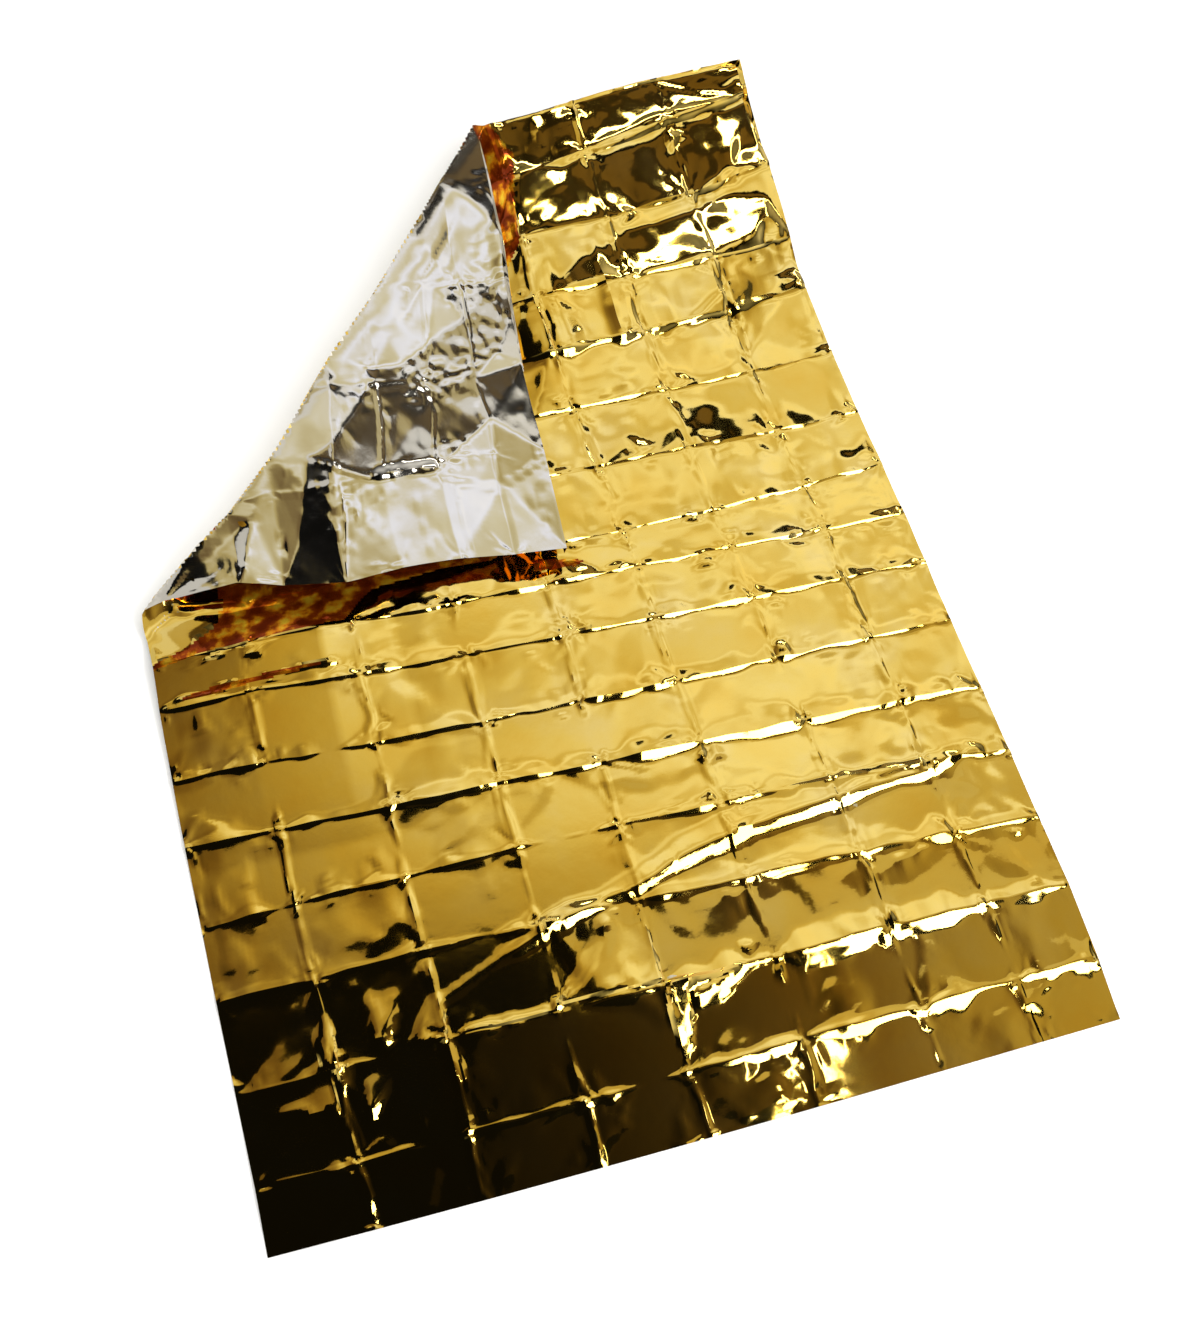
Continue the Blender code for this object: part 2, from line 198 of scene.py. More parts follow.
def place(u, v):
    """Where the middle of the uncreased film lies, for arrays of cut coordinates."""
    past, _ = fold_place(u, v)
    half = ROLL_WIDTH / 2
    turn = np.clip(past / half, -1.0, 1.0)
    lower = np.minimum(0.0, -past - half) * (past > -half)
    upper = np.maximum(0.0, half - past) * (past < half) * (past > -half)
    ul, vl = u + FOLD_ACROSS[0] * lower, v + FOLD_ACROSS[1] * lower
    uu, vu = u + FOLD_ACROSS[0] * upper, v + FOLD_ACROSS[1] * upper
    share = smooth(-1.0, 0.16, turn)  # the corner is level right up to its crisp fold, and the sheet drops away below
    flat = base_plan(ul, vl) * (1 - share)[..., None] + flap_plan(uu, vu) * share[..., None]
    rounding = 0.118
    out = np.maximum(0.0, 1.0 + rounding * (1 - np.abs(turn)) - np.sqrt(turn * turn + rounding * rounding))
    flat = flat - INWARD * (half * out)[..., None]
    height = mix(base_height(ul, vl), flap_height(uu, vu), share)
    return np.concatenate((flat, height[..., None]), -1)


# ----------------------------------------------------------------- the lattice
CELLS_ACROSS, CELLS_ALONG, COARSE = 28, 24, 4  # per panel, and how many make one coarse cell


def stations(panels, cells, pitch, squeeze):
    """Lattice lines, closer together at the storage creases."""
    share = np.arange(cells) / cells
    share = share - squeeze * np.sin(2 * math.pi * share) / (2 * math.pi)
    return np.append((np.arange(panels)[:, None] + share).ravel() * pitch, panels * pitch)


U_LINES = stations(COLUMNS, CELLS_ACROSS, PANEL_WIDTH, 0.45)
V_LINES = stations(ROWS, CELLS_ALONG, PANEL_LENGTH, 0.45)
U0, V0 = np.meshgrid(U_LINES, V_LINES)


def knots(at, step, low, high, seed):
    """A random polyline along at, with a knot each step."""
    rng = np.random.default_rng(seed)
    count = int(np.ceil(at.max() / step)) + 2
    places = np.arange(count) * step + rng.uniform(-0.3, 0.3, count) * step
    return np.interp(at, places, rng.uniform(low, high, count))


def wander():
    """Bends the lattice so that its lines follow the storage creases, which aren't quite straight."""
    across, along = np.zeros(U0.shape), np.zeros(U0.shape)
    for number in range(1, ROWS):
        near = np.maximum(0.0, 1 - np.abs(V0 - number * PANEL_LENGTH) / (0.45 * PANEL_LENGTH))
        along += knots(U_LINES, 0.055, -0.0028, 0.0028, 100 + number)[None, :] * near
    for number in range(1, COLUMNS):
        near = np.maximum(0.0, 1 - np.abs(U0 - number * PANEL_WIDTH) / (0.4 * PANEL_WIDTH))
        across += knots(V_LINES, 0.07, -0.004, 0.004, 400 + number)[:, None] * near
    return U0 + across, V0 + along


U, V = wander()
PAST, ALONG = fold_place(U, V)
ON_FLAP = smooth(-0.014, 0.004, PAST)  # 0 on the sheet, 1 on the turned-over corner


# ------------------------------------------------------------- layers of folds
def inside_polygon(points, polygon):
    x, y = points[..., 0], points[..., 1]
    inside = np.zeros(x.shape, bool)
    for (ax, ay), (bx, by) in zip(polygon, np.roll(polygon, -1, 0)):
        if ay == by:
            continue
        crosses = (ay > y) != (by > y)
        inside ^= crosses & (x < (bx - ax) * (y - ay) / (by - ay) + ax)
    return inside


def facets(points, heights, segments=()):
    """Flat facets between points of the cut film, read at every lattice point."""
    found = delaunay_2d_cdt([Vector(p) for p in points], list(segments), [], 0, 1e-6)
    corners = np.array([tuple(v) for v in found[0]])
    high = np.array([np.mean([heights[i] for i in origin]) if origin else np.nan for origin in found[3]])
    for i in np.flatnonzero(np.isnan(high)):  # where two segments cross
        near = np.argsort(((corners - corners[i]) ** 2).sum(1))[1:4]
        high[i] = np.nanmean(high[near])
    return spread(corners, found[2], high)


def spread(corners, faces, high):
    """The heights of flat facets, read at every lattice point."""
    out = np.zeros(U.shape)
    for face in faces:
        a, b, c = corners[face[0]], corners[face[1]], corners[face[2]]
        i0, i1 = np.searchsorted(U_LINES, (min(a[0], b[0], c[0]) - 1e-9, max(a[0], b[0], c[0]) + 1e-9))
        j0, j1 = np.searchsorted(V_LINES, (min(a[1], b[1], c[1]) - 1e-9, max(a[1], b[1], c[1]) + 1e-9))
        if i0 == i1 or j0 == j1:
            continue
        x, y = U0[j0:j1, i0:i1], V0[j0:j1, i0:i1]
        area = (b[0] - a[0]) * (c[1] - a[1]) - (c[0] - a[0]) * (b[1] - a[1])
        if abs(area) < 1e-12:
            continue
        s = ((x - a[0]) * (c[1] - a[1]) - (c[0] - a[0]) * (y - a[1])) / area
        t = ((b[0] - a[0]) * (y - a[1]) - (x - a[0]) * (b[1] - a[1])) / area
        inside = (s >= -1e-7) & (t >= -1e-7) & (s + t <= 1 + 1e-7)
        value = high[face[0]] * (1 - s - t) + high[face[1]] * s + high[face[2]] * t
        out[j0:j1, i0:i1][inside] = value[inside]
    return out


def plates(points, table, fixed, stiff=0.12):
    """Flat plates with chosen tilts that share their corners, as heights at every lattice point.

    points gives each corner's column and row. Each plate of the table has its corners' names, the
    spot of the lights' plane that it mirrors towards the camera, and its weight. The corners in
    fixed stay level; the rest take the heights that give every plate its tilt as nearly as they can.
    """
    names = list(points)
    cut = [(c * PANEL_WIDTH, r * PANEL_LENGTH) for c, r in points.values()]
    edges = {
        tuple(sorted((names.index(a), names.index(b))))
        for plate in table for a, b in zip(plate[0].split(), plate[0].split()[1:] + plate[0].split()[:1])
    }
    found = delaunay_2d_cdt([Vector(p) for p in cut], list(edges), [], 0, 1e-6)
    corners = np.array([tuple(v) for v in found[0]])
    origin = [[names[i] for i in o] for o in found[3]]
    held = np.array([any(n in fixed for n in o) for o in origin])
    ground = place(corners[:, 0], corners[:, 1]) - CENTRE
    outlines = [np.array([cut[names.index(n)] for n in plate[0].split()]) for plate in table]
    rows, wanted, sizes = [], [], []
    for face in found[2]:
        a, b, c = (ground[i] for i in face)
        plane = np.array((b[:2] - a[:2], c[:2] - a[:2]))
        area = abs(np.linalg.det(plane)) / 2
        if area < 1e-7:
            continue
        inverse = np.linalg.inv(plane)
        own = inverse @ np.array((b[2] - a[2], c[2] - a[2]))  # the tilt it has already
        centre, weight, tilt = (a + b + c) / 3, stiff, np.zeros(2)
        middle_cut = corners[list(face)].mean(0)
        for plate, outline in zip(table, outlines):
            if inside_polygon(middle_cut[None], outline)[0]:
                spot = np.array((plate[1], plate[2], LIGHTS_AT))
                ways = [(p - centre) / np.linalg.norm(p - centre) for p in (np.array(EYE), spot)]
                normal = ways[0] + ways[1]
                tilt, weight = -normal[:2] / normal[2] - own, plate[3]
                break
        for axis in (0, 1):
            row = np.zeros(len(corners))
            row[face[1]], row[face[2]] = inverse[axis]
            row[face[0]] = -inverse[axis].sum()
            rows.append(row)
            wanted.append(tilt[axis])
            sizes.append(weight * math.sqrt(area))
    rows, wanted, sizes = np.array(rows), np.array(wanted), np.array(sizes)
    loose = ~held
    share = np.ones(len(rows))
    for _ in range(5):
        matrix = rows[:, loose] * (sizes * share)[:, None]
        matrix = np.vstack((matrix, np.eye(loose.sum()) * 0.10))
        high = np.zeros(len(corners))
        high[loose] = np.linalg.lstsq(matrix, np.append(wanted * sizes * share, np.zeros(loose.sum())), rcond=None)[0]
        miss = np.abs(rows @ high - wanted)
        share = np.sqrt(0.05 / (miss + 0.05))
    high = np.clip(high, -0.026, 0.024)
    print("plates from", round(float(high.min()) * 1000, 1), "to", round(float(high.max()) * 1000, 1), "mm")
    return spread(corners, found[2], high)


def crumple(spacing, amount, seed, stretch=1.0, box=(0.0, 0.0, SHEET_WIDTH, SHEET_LENGTH)):
    """Random facets about spacing across, over the whole film or a box of it."""
    rng = np.random.default_rng(seed)
    left, near, right, far = box[0] - 0.02, box[1] - 0.02, box[2] + 0.02, box[3] + 0.02
    nx, ny = int((right - left) / spacing) + 2, int((far - near) / (spacing * stretch)) + 2
    gx, gy = np.meshgrid(np.linspace(left, right, nx), np.linspace(near, far, ny))
    gx = gx + rng.uniform(-0.42, 0.42, gx.shape) * spacing
    gy = gy + rng.uniform(-0.42, 0.42, gy.shape) * spacing * stretch
    gx[:, 0], gx[:, -1], gy[0], gy[-1] = left, right, near, far
    points = list(zip(gx.ravel(), gy.ravel()))
    return facets(points, rng.uniform(-1, 1, len(points)) * amount)


def wrinkle(layer, path, width, height):
    """A thin straight-sided wrinkle along a path of the cut film, fading out at both ends."""
    path = np.asarray(path, float)
    steps = np.hypot(*np.diff(path, axis=0).T)
    whole, done = steps.sum(), 0.0
    patch = None
    i0, i1 = np.searchsorted(U_LINES, (path[:, 0].min() - width, path[:, 0].max() + width))
    j0, j1 = np.searchsorted(V_LINES, (path[:, 1].min() - width, path[:, 1].max() + width))
    if i0 == i1 or j0 == j1:
        return
    x, y = U0[j0:j1, i0:i1], V0[j0:j1, i0:i1]
    best = np.zeros(x.shape)
    for (ax, ay), (bx, by), run in zip(path, path[1:], steps):
        if run < 1e-6:
            continue
        t = np.clip(((x - ax) * (bx - ax) + (y - ay) * (by - ay)) / run**2, 0, 1)
        off = np.hypot(x - ax - t * (bx - ax), y - ay - t * (by - ay))
        along = (done + t * run) / whole
        fade = np.minimum(1.0, np.minimum(along, 1 - along) * 5 + 0.05)
        best = np.maximum(best, np.maximum(0.0, 1 - off / width) * fade)
        done += run
    layer[j0:j1, i0:i1] += best * height


def flank(distance, steep, steep_width, gentle, gentle_width):
    """Height left at a distance from a crest: a steep flank, then one that eases out."""
    total = steep * steep_width + gentle * gentle_width / 2
    near = total - steep * distance
    far = gentle * np.maximum(0.0, steep_width + gentle_width - distance) ** 2 / (2 * gentle_width)
    return np.where(distance < steep_width, near, far), total


def widest(values, reach, pick):
    """Largest or smallest value within reach lattice lines each way."""
    out = values
    for axis in (0, 1):
        padded = np.pad(out, [(reach, reach) if a == axis else (0, 0) for a in (0, 1)], mode="edge")
        size = values.shape[axis]
        parts = [padded.take(range(k, k + size), axis=axis) for k in range(2 * reach + 1)]
        out = pick.reduce(parts)
    return out


def ridge_line(layer, path, left, left_mm, right, right_mm, ends=0.12):
    """A sharp ridge (or, with negative slopes, a valley) along a path of columns and rows.

    left and right are the slopes of its two flanks, to the left and right of the way the
    path runs. The narrower flank ends level, so both reach the same crest.
    """
    path = np.array([(c * PANEL_WIDTH, r * PANEL_LENGTH) for c, r in path])
    steps = np.hypot(*np.diff(path, axis=0).T)
    reach = max(left_mm, right_mm) / 1000
    i0, i1 = np.searchsorted(U_LINES, (path[:, 0].min() - reach, path[:, 0].max() + reach))
    j0, j1 = np.searchsorted(V_LINES, (path[:, 1].min() - reach, path[:, 1].max() + reach))
    if i0 == i1 or j0 == j1:
        return
    x, y = U0[j0:j1, i0:i1], V0[j0:j1, i0:i1]
    nearest, value, done = np.full(x.shape, 9.0), np.zeros(x.shape), 0.0
    for (ax, ay), (bx, by), run in zip(path, path[1:], steps):
        t = np.clip(((x - ax) * (bx - ax) + (y - ay) * (by - ay)) / run**2, 0, 1)
        off = np.hypot(x - ax - t * (bx - ax), y - ay - t * (by - ay))
        side = (bx - ax) * (y - ay) - (by - ay) * (x - ax)
        share = (done + t * run) / steps.sum()
        fade = np.clip(np.minimum(share, 1 - share) / ends, 0.0, 1.0)
        crest = left * left_mm / 1000
        here = np.where(side > 0, crest - left * off / np.maximum(fade, 0.05), crest - right * off / np.maximum(fade, 0.05))
        here = np.where(crest > 0, np.maximum(0, here), np.minimum(0, here)) * fade
        value = np.where(off < nearest, here, value)
        nearest = np.minimum(nearest, off)
        done += run
    layer[j0:j1, i0:i1] += value


def patch(corners, skirt=8.0, height=None):
    """A crisp-edged facet group: corners as (column, row, height in mm), level again skirt mm outside them."""
    points = np.array([(c * PANEL_WIDTH, r * PANEL_LENGTH) for c, r, *_ in corners])
    heights = [(h[0] if height is None else height) / 1000 for _, _, *h in corners]
    away = points - points.mean(0)
    ring = points + away / np.linalg.norm(away, axis=1)[:, None] * skirt / 1000
    count = len(points)
    edges = [(i, (i + 1) % count) for i in range(count)]
    return facets([*points, *ring], heights + [0.0] * count, edges)


# The storage creases that run across the film: row, the slope of the near flank, how wide
# that flank is in each panel from the left edge, in mm, and the slope of the far flank.
ROW_CREASES = (
    (1, 0.11, (5, 4, 8, 12, 12, 20, 22, 16), 0.15),
    (2, 0.17, (5, 5, 6, 6, 14, 28, 22, 15), 0.15),
    (3, 0.22, (8, 9, 9, 6, 8, 13, 17, 13), 0.15),
    (4, 0.28, (6, 6, 6, 6, 7, 14, 14, 9), 0.14),
    (5, 0.34, (6, 8, 8, 8, 15, 14, 12, 8), 0.13),
    (6, 0.38, (5, 5, 5, 6, 11, 10, 9, 9), 0.12),
    (7, 0.42, (6, 6, 6, 5, 6, 9, 8, 6), 0.11),
    (8, 0.46, (4, 6, 6, 8, 8, 4, 4, 4), 0.09),
    (9, 0.47, (4, 4, 4, 4, 4, 4, 5, 5), 0.07),
    (10, 0.50, (4, 4, 4, 4, 4, 5, 6, 5), 0.06),
    (11, 0.53, (4, 4, 4, 4, 7, 7, 5, 4), 0.055),
    (12, 0.53, (4, 4, 4, 4, 12, 20, 10, 6), 0.06),
    (13, 0.45, (4, 4, 4, 4, 5, 6, 6, 5), 0.06),
    (14, 0.53, (4, 4, 4, 4, 5, 5, 6, 12), 0.06),
    (15, 0.20, (4, 4, 4, 4, 5, 8, 16, 13), 0.06),
)


def row_creases():
    out = np.zeros(U.shape)
    column = U_LINES / PANEL_WIDTH
    node = np.clip(np.abs(column - np.round(column)) / 0.05, 0, 1)
    for number, slope, widths, far_steep in ROW_CREASES:
        away = V0 - number * PANEL_LENGTH
        steep = slope * knots(U_LINES, 0.035, 0.80, 1.20, 200 + number) * (0.6 + 0.4 * node)
        width = np.interp(column, [k + 0.5 for k in range(8)], widths) / 1000
        width = width * knots(U_LINES, 0.040, 0.35, 1.55, 300 + number) * (0.45 + 0.55 * node)
        near, crest = flank(np.maximum(0.0, -away), steep[None, :], width[None, :], 0.045, 0.035)
        far_width = np.maximum(0.004, (crest - 0.05 * 0.028 / 2) / far_steep)
        far, far_crest = flank(np.maximum(0.0, away), far_steep, far_width, 0.05, 0.028)
        far = far * crest / far_crest
        out += np.where(away < 0, near, far)
    return out


def column_creases():
    out = np.zeros(U.shape)
    for number in range(1, COLUMNS):
        away = U0 - number * PANEL_WIDTH
        strength = knots(V_LINES, 0.06, 0.25, 1.0, 500 + number)[:, None]
        left = np.maximum(0.0, 1 - np.maximum(0.0, -away) / 0.016)
        right = np.maximum(0.0, 1 - np.maximum(0.0, away) / 0.009)
        out += 0.0020 * strength * np.where(away < 0, left, right)
        for pleat in range(4):
            at = knots(V_LINES, 0.05, -0.007, 0.007, 600 + 10 * number + pleat)[:, None] + (pleat - 1.5) * 0.007
            tall = knots(V_LINES, 0.04, -0.6, 1.0, 700 + 10 * number + pleat)[:, None]
            out += 0.0010 * tall * np.maximum(0.0, 1 - np.abs(away - at) / 0.0045)
    return out


def small_wrinkles(count, seed):
    """Fine wrinkles: most start at the crossings of the storage creases and run up or down from them."""
    out = np.zeros(U.shape)
    rng = np.random.default_rng(seed)
    for _ in range(count):
        if rng.random() < 0.7:
            x = rng.integers(0, COLUMNS + 1) * PANEL_WIDTH + rng.normal(0, 0.020)
            y = rng.integers(0, ROWS + 1) * PANEL_LENGTH + rng.normal(0, 0.010)
            angle = math.pi / 2 * rng.choice((-1, 1)) + rng.normal(0, 0.55)
        else:
            x, y = rng.uniform(0, SHEET_WIDTH), rng.uniform(0, SHEET_LENGTH)
            angle = rng.uniform(0, 2 * math.pi)
        path, turn = [(x, y)], rng.normal(0, 0.25)
        for _ in range(rng.integers(2, 5)):
            step = rng.uniform(0.010, 0.030)
            angle += turn + rng.normal(0, 0.15)
            x, y = x + step * math.cos(angle), y + step * math.sin(angle)
            path.append((x, y))
        wrinkle(out, path, rng.uniform(0.004, 0.008), rng.uniform(0.0003, 0.0010) * rng.choice((-1, 1, 1)))
    return out


def pinches(seed):
    """Short steep tucks where the storage creases cross."""
    out = np.zeros(U.shape)
    rng = np.random.default_rng(seed)
    for column in range(0, COLUMNS + 1):
        for row in range(0, ROWS + 1):
            for _ in range(rng.integers(1, 4)):
                x, y = column * PANEL_WIDTH + rng.normal(0, 0.007), row * PANEL_LENGTH + rng.normal(0, 0.005)
                angle, length = rng.uniform(0, 2 * math.pi), rng.uniform(0.010, 0.034)
                bend = angle + rng.normal(0, 0.4)
                path = ((x, y), (x + length / 2 * math.cos(angle), y + length / 2 * math.sin(angle)))
                path += ((path[1][0] + length / 2 * math.cos(bend), path[1][1] + length / 2 * math.sin(bend)),)
                wrinkle(out, path, rng.uniform(0.0045, 0.0075), rng.uniform(0.0010, 0.0024) * rng.choice((-1, 1)))
    return out


def dimples(count, seed):
    """Low three-sided dents and bumps, most of them beside the creases that run across."""
    out = np.zeros(U.shape)
    rng = np.random.default_rng(seed)
    for _ in range(count):
        x = rng.uniform(0, SHEET_WIDTH)
        y = rng.integers(0, ROWS + 1) * PANEL_LENGTH + rng.choice((-1, 1)) * rng.uniform(0.008, 0.034)
        size, turn = rng.uniform(0.018, 0.050), rng.uniform(0, 2 * math.pi)
        angles = turn + np.array((0.0, 2.1, 4.2)) + rng.uniform(-0.5, 0.5, 3)
        reach = size * rng.uniform(0.45, 1.0, 3)
        px, py = x + reach * np.cos(angles), y + reach * np.sin(angles)
        i0, i1 = np.searchsorted(U_LINES, (px.min(), px.max()))
        j0, j1 = np.searchsorted(V_LINES, (py.min(), py.max()))
        area = (px[1] - px[0]) * (py[2] - py[0]) - (px[2] - px[0]) * (py[1] - py[0])
        height = min(0.0045, 0.0013 * math.exp(rng.normal(0, 0.75))) * rng.choice((-1, 1)) * size / 0.034
        if i0 == i1 or j0 == j1 or abs(area) < 1e-5:
            continue
        gx, gy = U0[j0:j1, i0:i1], V0[j0:j1, i0:i1]
        s = ((gx - px[0]) * (py[2] - py[0]) - (px[2] - px[0]) * (gy - py[0])) / area
        t = ((px[1] - px[0]) * (gy - py[0]) - (gx - px[0]) * (py[1] - py[0])) / area
        out[j0:j1, i0:i1] += height * 3 * np.maximum(0.0, np.minimum(np.minimum(s, t), 1 - s - t))
    return out


# The long slanting ridge across the panel grid: column, row, height in mm, half width in mm.
RIDGE = (
    (2.00, 2.40, 1.5, 8), (2.40, 2.60, 2.5, 9), (2.90, 2.83, 4.0, 14), (3.16, 2.99, 5.0, 16), (4.00, 3.17, 5.5, 18),
    (4.46, 3.42, 6.5, 22), (5.10, 3.61, 7.5, 26), (6.00, 3.76, 7.5, 26), (7.06, 3.90, 5.0, 18), (7.60, 4.10, 2.0, 12), (7.95, 4.3, 0.5, 10),
)


def long_ridge():
    out = np.zeros(U.shape)
    along_u = np.array([r[0] for r in RIDGE]) * PANEL_WIDTH
    along_v = np.interp(U0, along_u, np.array([r[1] for r in RIDGE]) * PANEL_LENGTH)
    height = np.interp(U0, along_u, [r[2] for r in RIDGE], left=0, right=0) / 1000
    half = np.interp(U0, along_u, [r[3] for r in RIDGE]) / 1000
    away = V0 - along_v
    near = np.maximum(0.0, 1 + away / half) ** 1.1
    far = np.maximum(0.0, 1 - away / (half * 1.6))
    return height * np.where(away < 0, near, far)


# Crisp facets in the near left part of the sheet: column, row and height in mm of each corner.
FACETS = (
    ((1.38, 2.74, 0), (1.54, 2.73, 0), (1.69, 2.63, 1), (1.61, 2.46, 3), (1.48, 2.11, 8), (1.39, 2.17, 7), (1.41, 2.41, 4)),
    ((1.03, 2.63, 0), (1.05, 2.42, 2), (1.01, 1.99, 7), (0.89, 2.11, 6), (0.92, 2.34, 3)),
    ((0.21, 1.72, 0.5), (0.60, 1.82, 0), (0.85, 1.97, 0), (0.96, 1.95, 0.3), (0.92, 1.56, 5), (0.56, 1.64, 3)),
    ((1.24, 1.76, 2), (1.33, 1.89, 0.5), (1.55, 1.91, 0), (1.37, 1.66, 3), (1.20, 1.39, 7), (1.18, 1.55, 5)),
    ((1.73, 2.09, 5), (1.95, 2.52, 0), (2.03, 2.44, 0.5), (1.98, 2.03, 6)),
    ((3.01, 2.11, 6), (3.30, 2.32, 4), (3.51, 2.61, 1.5), (3.65, 2.74, 0.8), (3.96, 2.98, 0), (3.97, 2.06, 7)),
    ((1.02, 2.00, 5), (1.14, 1.95, 0), (1.10, 1.75, 0), (1.03, 1.80, 4)),
    ((4.03, 1.985, 13), (4.17, 1.985, 13), (4.14, 1.62, 7), (4.06, 1.10, 0), (3.99, 1.04, 0), (3.99, 1.60, 7)),
    ((4.17, 1.985, 12), (4.67, 1.985, 5), (4.52, 1.91, 3.5), (4.33, 1.84, 5), (4.26, 1.52, 0), (4.20, 1.48, 0), (4.21, 1.80, 5)),
    ((2.12, 2.03, 3), (3.02, 2.05, 4.5), (3.02, 2.16, 1.5), (2.30, 2.10, 0.5)),
    ((3.07, 3.02, 4), (3.28, 2.94, 3), (3.24, 2.79, 0), (3.07, 2.80, 0)),
)
# Places where the film is crushed more finely: corners, then how rough, and the size of its facets in mm.
CRUSHED = (
    (((4.62, 0.0), (4.62, 0.9), (4.75, 1.5), (4.92, 1.5), (5.02, 0.9), (5.05, 0.0)), 1.0, 9),
    (((6.37, 4.56), (6.90, 4.79), (6.94, 4.54), (6.68, 4.18), (6.44, 4.25)), 0.9, 12),
    (((6.53, 3.65), (6.93, 3.61), (6.83, 3.45), (6.59, 3.49)), 0.8, 10),
    (((4.63, 1.5), (4.66, 1.94), (5.03, 1.99), (5.9, 1.9), (6.9, 1.95), (6.9, 1.2), (5.9, 1.15), (5.0, 1.2)), 0.30, 12),
    (((1.70, 2.05), (1.9, 3.0), (2.3, 3.05), (2.3, 2.5), (2.05, 2.05)), 0.6, 11),
    (((0.1, 8.2), (0.1, 8.95), (0.7, 8.9), (0.7, 8.2)), 1.5, 12),
    (((0.7, 8.15), (0.8, 8.95), (2.0, 8.9), (2.0, 8.15)), 0.6, 15),
    (((5.0, 14.0), (5.0, 16.0), (6.2, 16.0), (6.0, 14.0)), 0.7, 12),
    (((6.0, 14.0), (6.2, 16.0), (8.0, 16.0), (8.0, 14.0)), 0.6, 13),
    (((7.0, 13.0), (7.0, 13.8), (8.0, 13.9), (8.0, 12.9)), 0.7, 20),
    (((6.8, 0.0), (6.8, 0.95), (8.0, 0.95), (8.0, 0.0)), 0.3, 20),
    (((1.0, 0.0), (1.0, 0.9), (2.0, 0.9), (2.0, 0.0)), 0.35, 12),
)
# Thin sharp ridges: path in columns and rows, then slope and width in mm of the left and the right flank.
RIDGES = (
    (((1.00, 1.90), (0.98, 1.68), (0.96, 1.38)), 0.16, 12, 0.25, 9),
    (((2.01, 2.00), (2.01, 1.78), (1.98, 1.50)), 0.14, 9, 0.20, 6),
    (((2.07, 1.80), (2.04, 1.30)), 0.14, 7, 0.33, 5),
    (((1.96, 1.02), (1.97, 0.52), (1.96, -0.05)), 0.14, 9, 0.20, 6),
    (((2.34, 1.34), (2.25, 1.05)), 0.12, 7, 0.16, 5),
    (((2.40, 2.48), (2.32, 2.35), (2.25, 2.10)), 0.12, 8, 0.18, 6),
    (((2.04, 3.06), (2.02, 2.62)), 0.14, 6, 0.20, 5),
    (((2.24, 3.04), (2.22, 2.68)), 0.14, 6, 0.20, 5),
    (((3.99, 2.02), (3.98, 1.81), (3.98, 1.58)), 0.10, 7, 0.065, 9),
    (((4.03, 1.66), (4.02, 1.28), (3.98, 0.92)), 0.10, 9, 0.065, 12),
    (((2.90, 0.58), (2.90, 0.0)), 0.12, 6, 0.12, 5),
    (((2.99, 0.60), (2.96, 0.0)), 0.12, 6, 0.12, 5),
    (((3.42, 0.62), (3.39, 0.22)), 0.12, 7, 0.12, 6),
    (((0.61, 0.92), (0.90, 0.98), (1.72, 0.95)), 0.16, 6, 0.20, 5),
    (((0.02, 0.32), (0.35, 0.30), (0.62, 0.36)), 0.16, 6, 0.20, 5),
    (((0.47, 7.31), (1.00, 7.24), (1.56, 7.31), (1.92, 7.28)), 0.55, 8, 0.7, 7),
    (((0.10, 7.16), (0.89, 7.12), (1.5, 7.16)), 0.45, 6, 0.6, 5),
    (((5.48, 16.05), (5.52, 15.26), (5.52, 14.77)), 0.22, 7, 0.26, 5),
    (((6.01, 16.05), (5.96, 14.97)), 0.20, 6, 0.24, 5),
    (((6.62, 16.05), (6.60, 15.60), (6.53, 15.10)), 0.20, 6, 0.24, 5),
    (((6.95, 15.95), (7.35, 15.55), (7.70, 15.15)), 0.20, 7, 0.26, 5),
    (((7.00, 16.05), (7.10, 15.60), (7.10, 15.10)), 0.18, 6, 0.24, 5),
    (((7.55, 16.05), (7.58, 15.50)), 0.18, 6, 0.24, 5),
    (((6.10, 15.95), (6.20, 15.50), (6.05, 15.10)), 0.16, 6, 0.22, 5),
    (((5.90, 15.0), (6.30, 15.07), (6.90, 15.2), (7.40, 15.12), (7.95, 14.95)), 0.12, 14, 0.20, 8),
    (((6.10, 3.78), (6.50, 3.92), (7.00, 4.02)), 0.12, 10, 0.40, 5),
    (((3.95, 5.02), (4.44, 4.72)), 0.12, 10, 0.40, 5),
)


def crushed():
    out = np.zeros(U.shape)
    for number, (corners, rough, size) in enumerate(CRUSHED):
        where = patch([(*corner, 0) for corner in corners], 22.0, 1000.0)
        film = np.array(corners) * (PANEL_WIDTH, PANEL_LENGTH)
        box = (*(film.min(0) - 0.03), *(film.max(0) + 0.03))
        out += where * rough * crumple(size / 1000, size * 0.00005, 800 + number, 1.2, box)
    return out


def sharp_ridges():
    out = np.zeros(U.shape)
    for path, left, left_mm, right, right_mm in RIDGES:
        ridge_line(out, path, left, left_mm, right, right_mm)
    return out


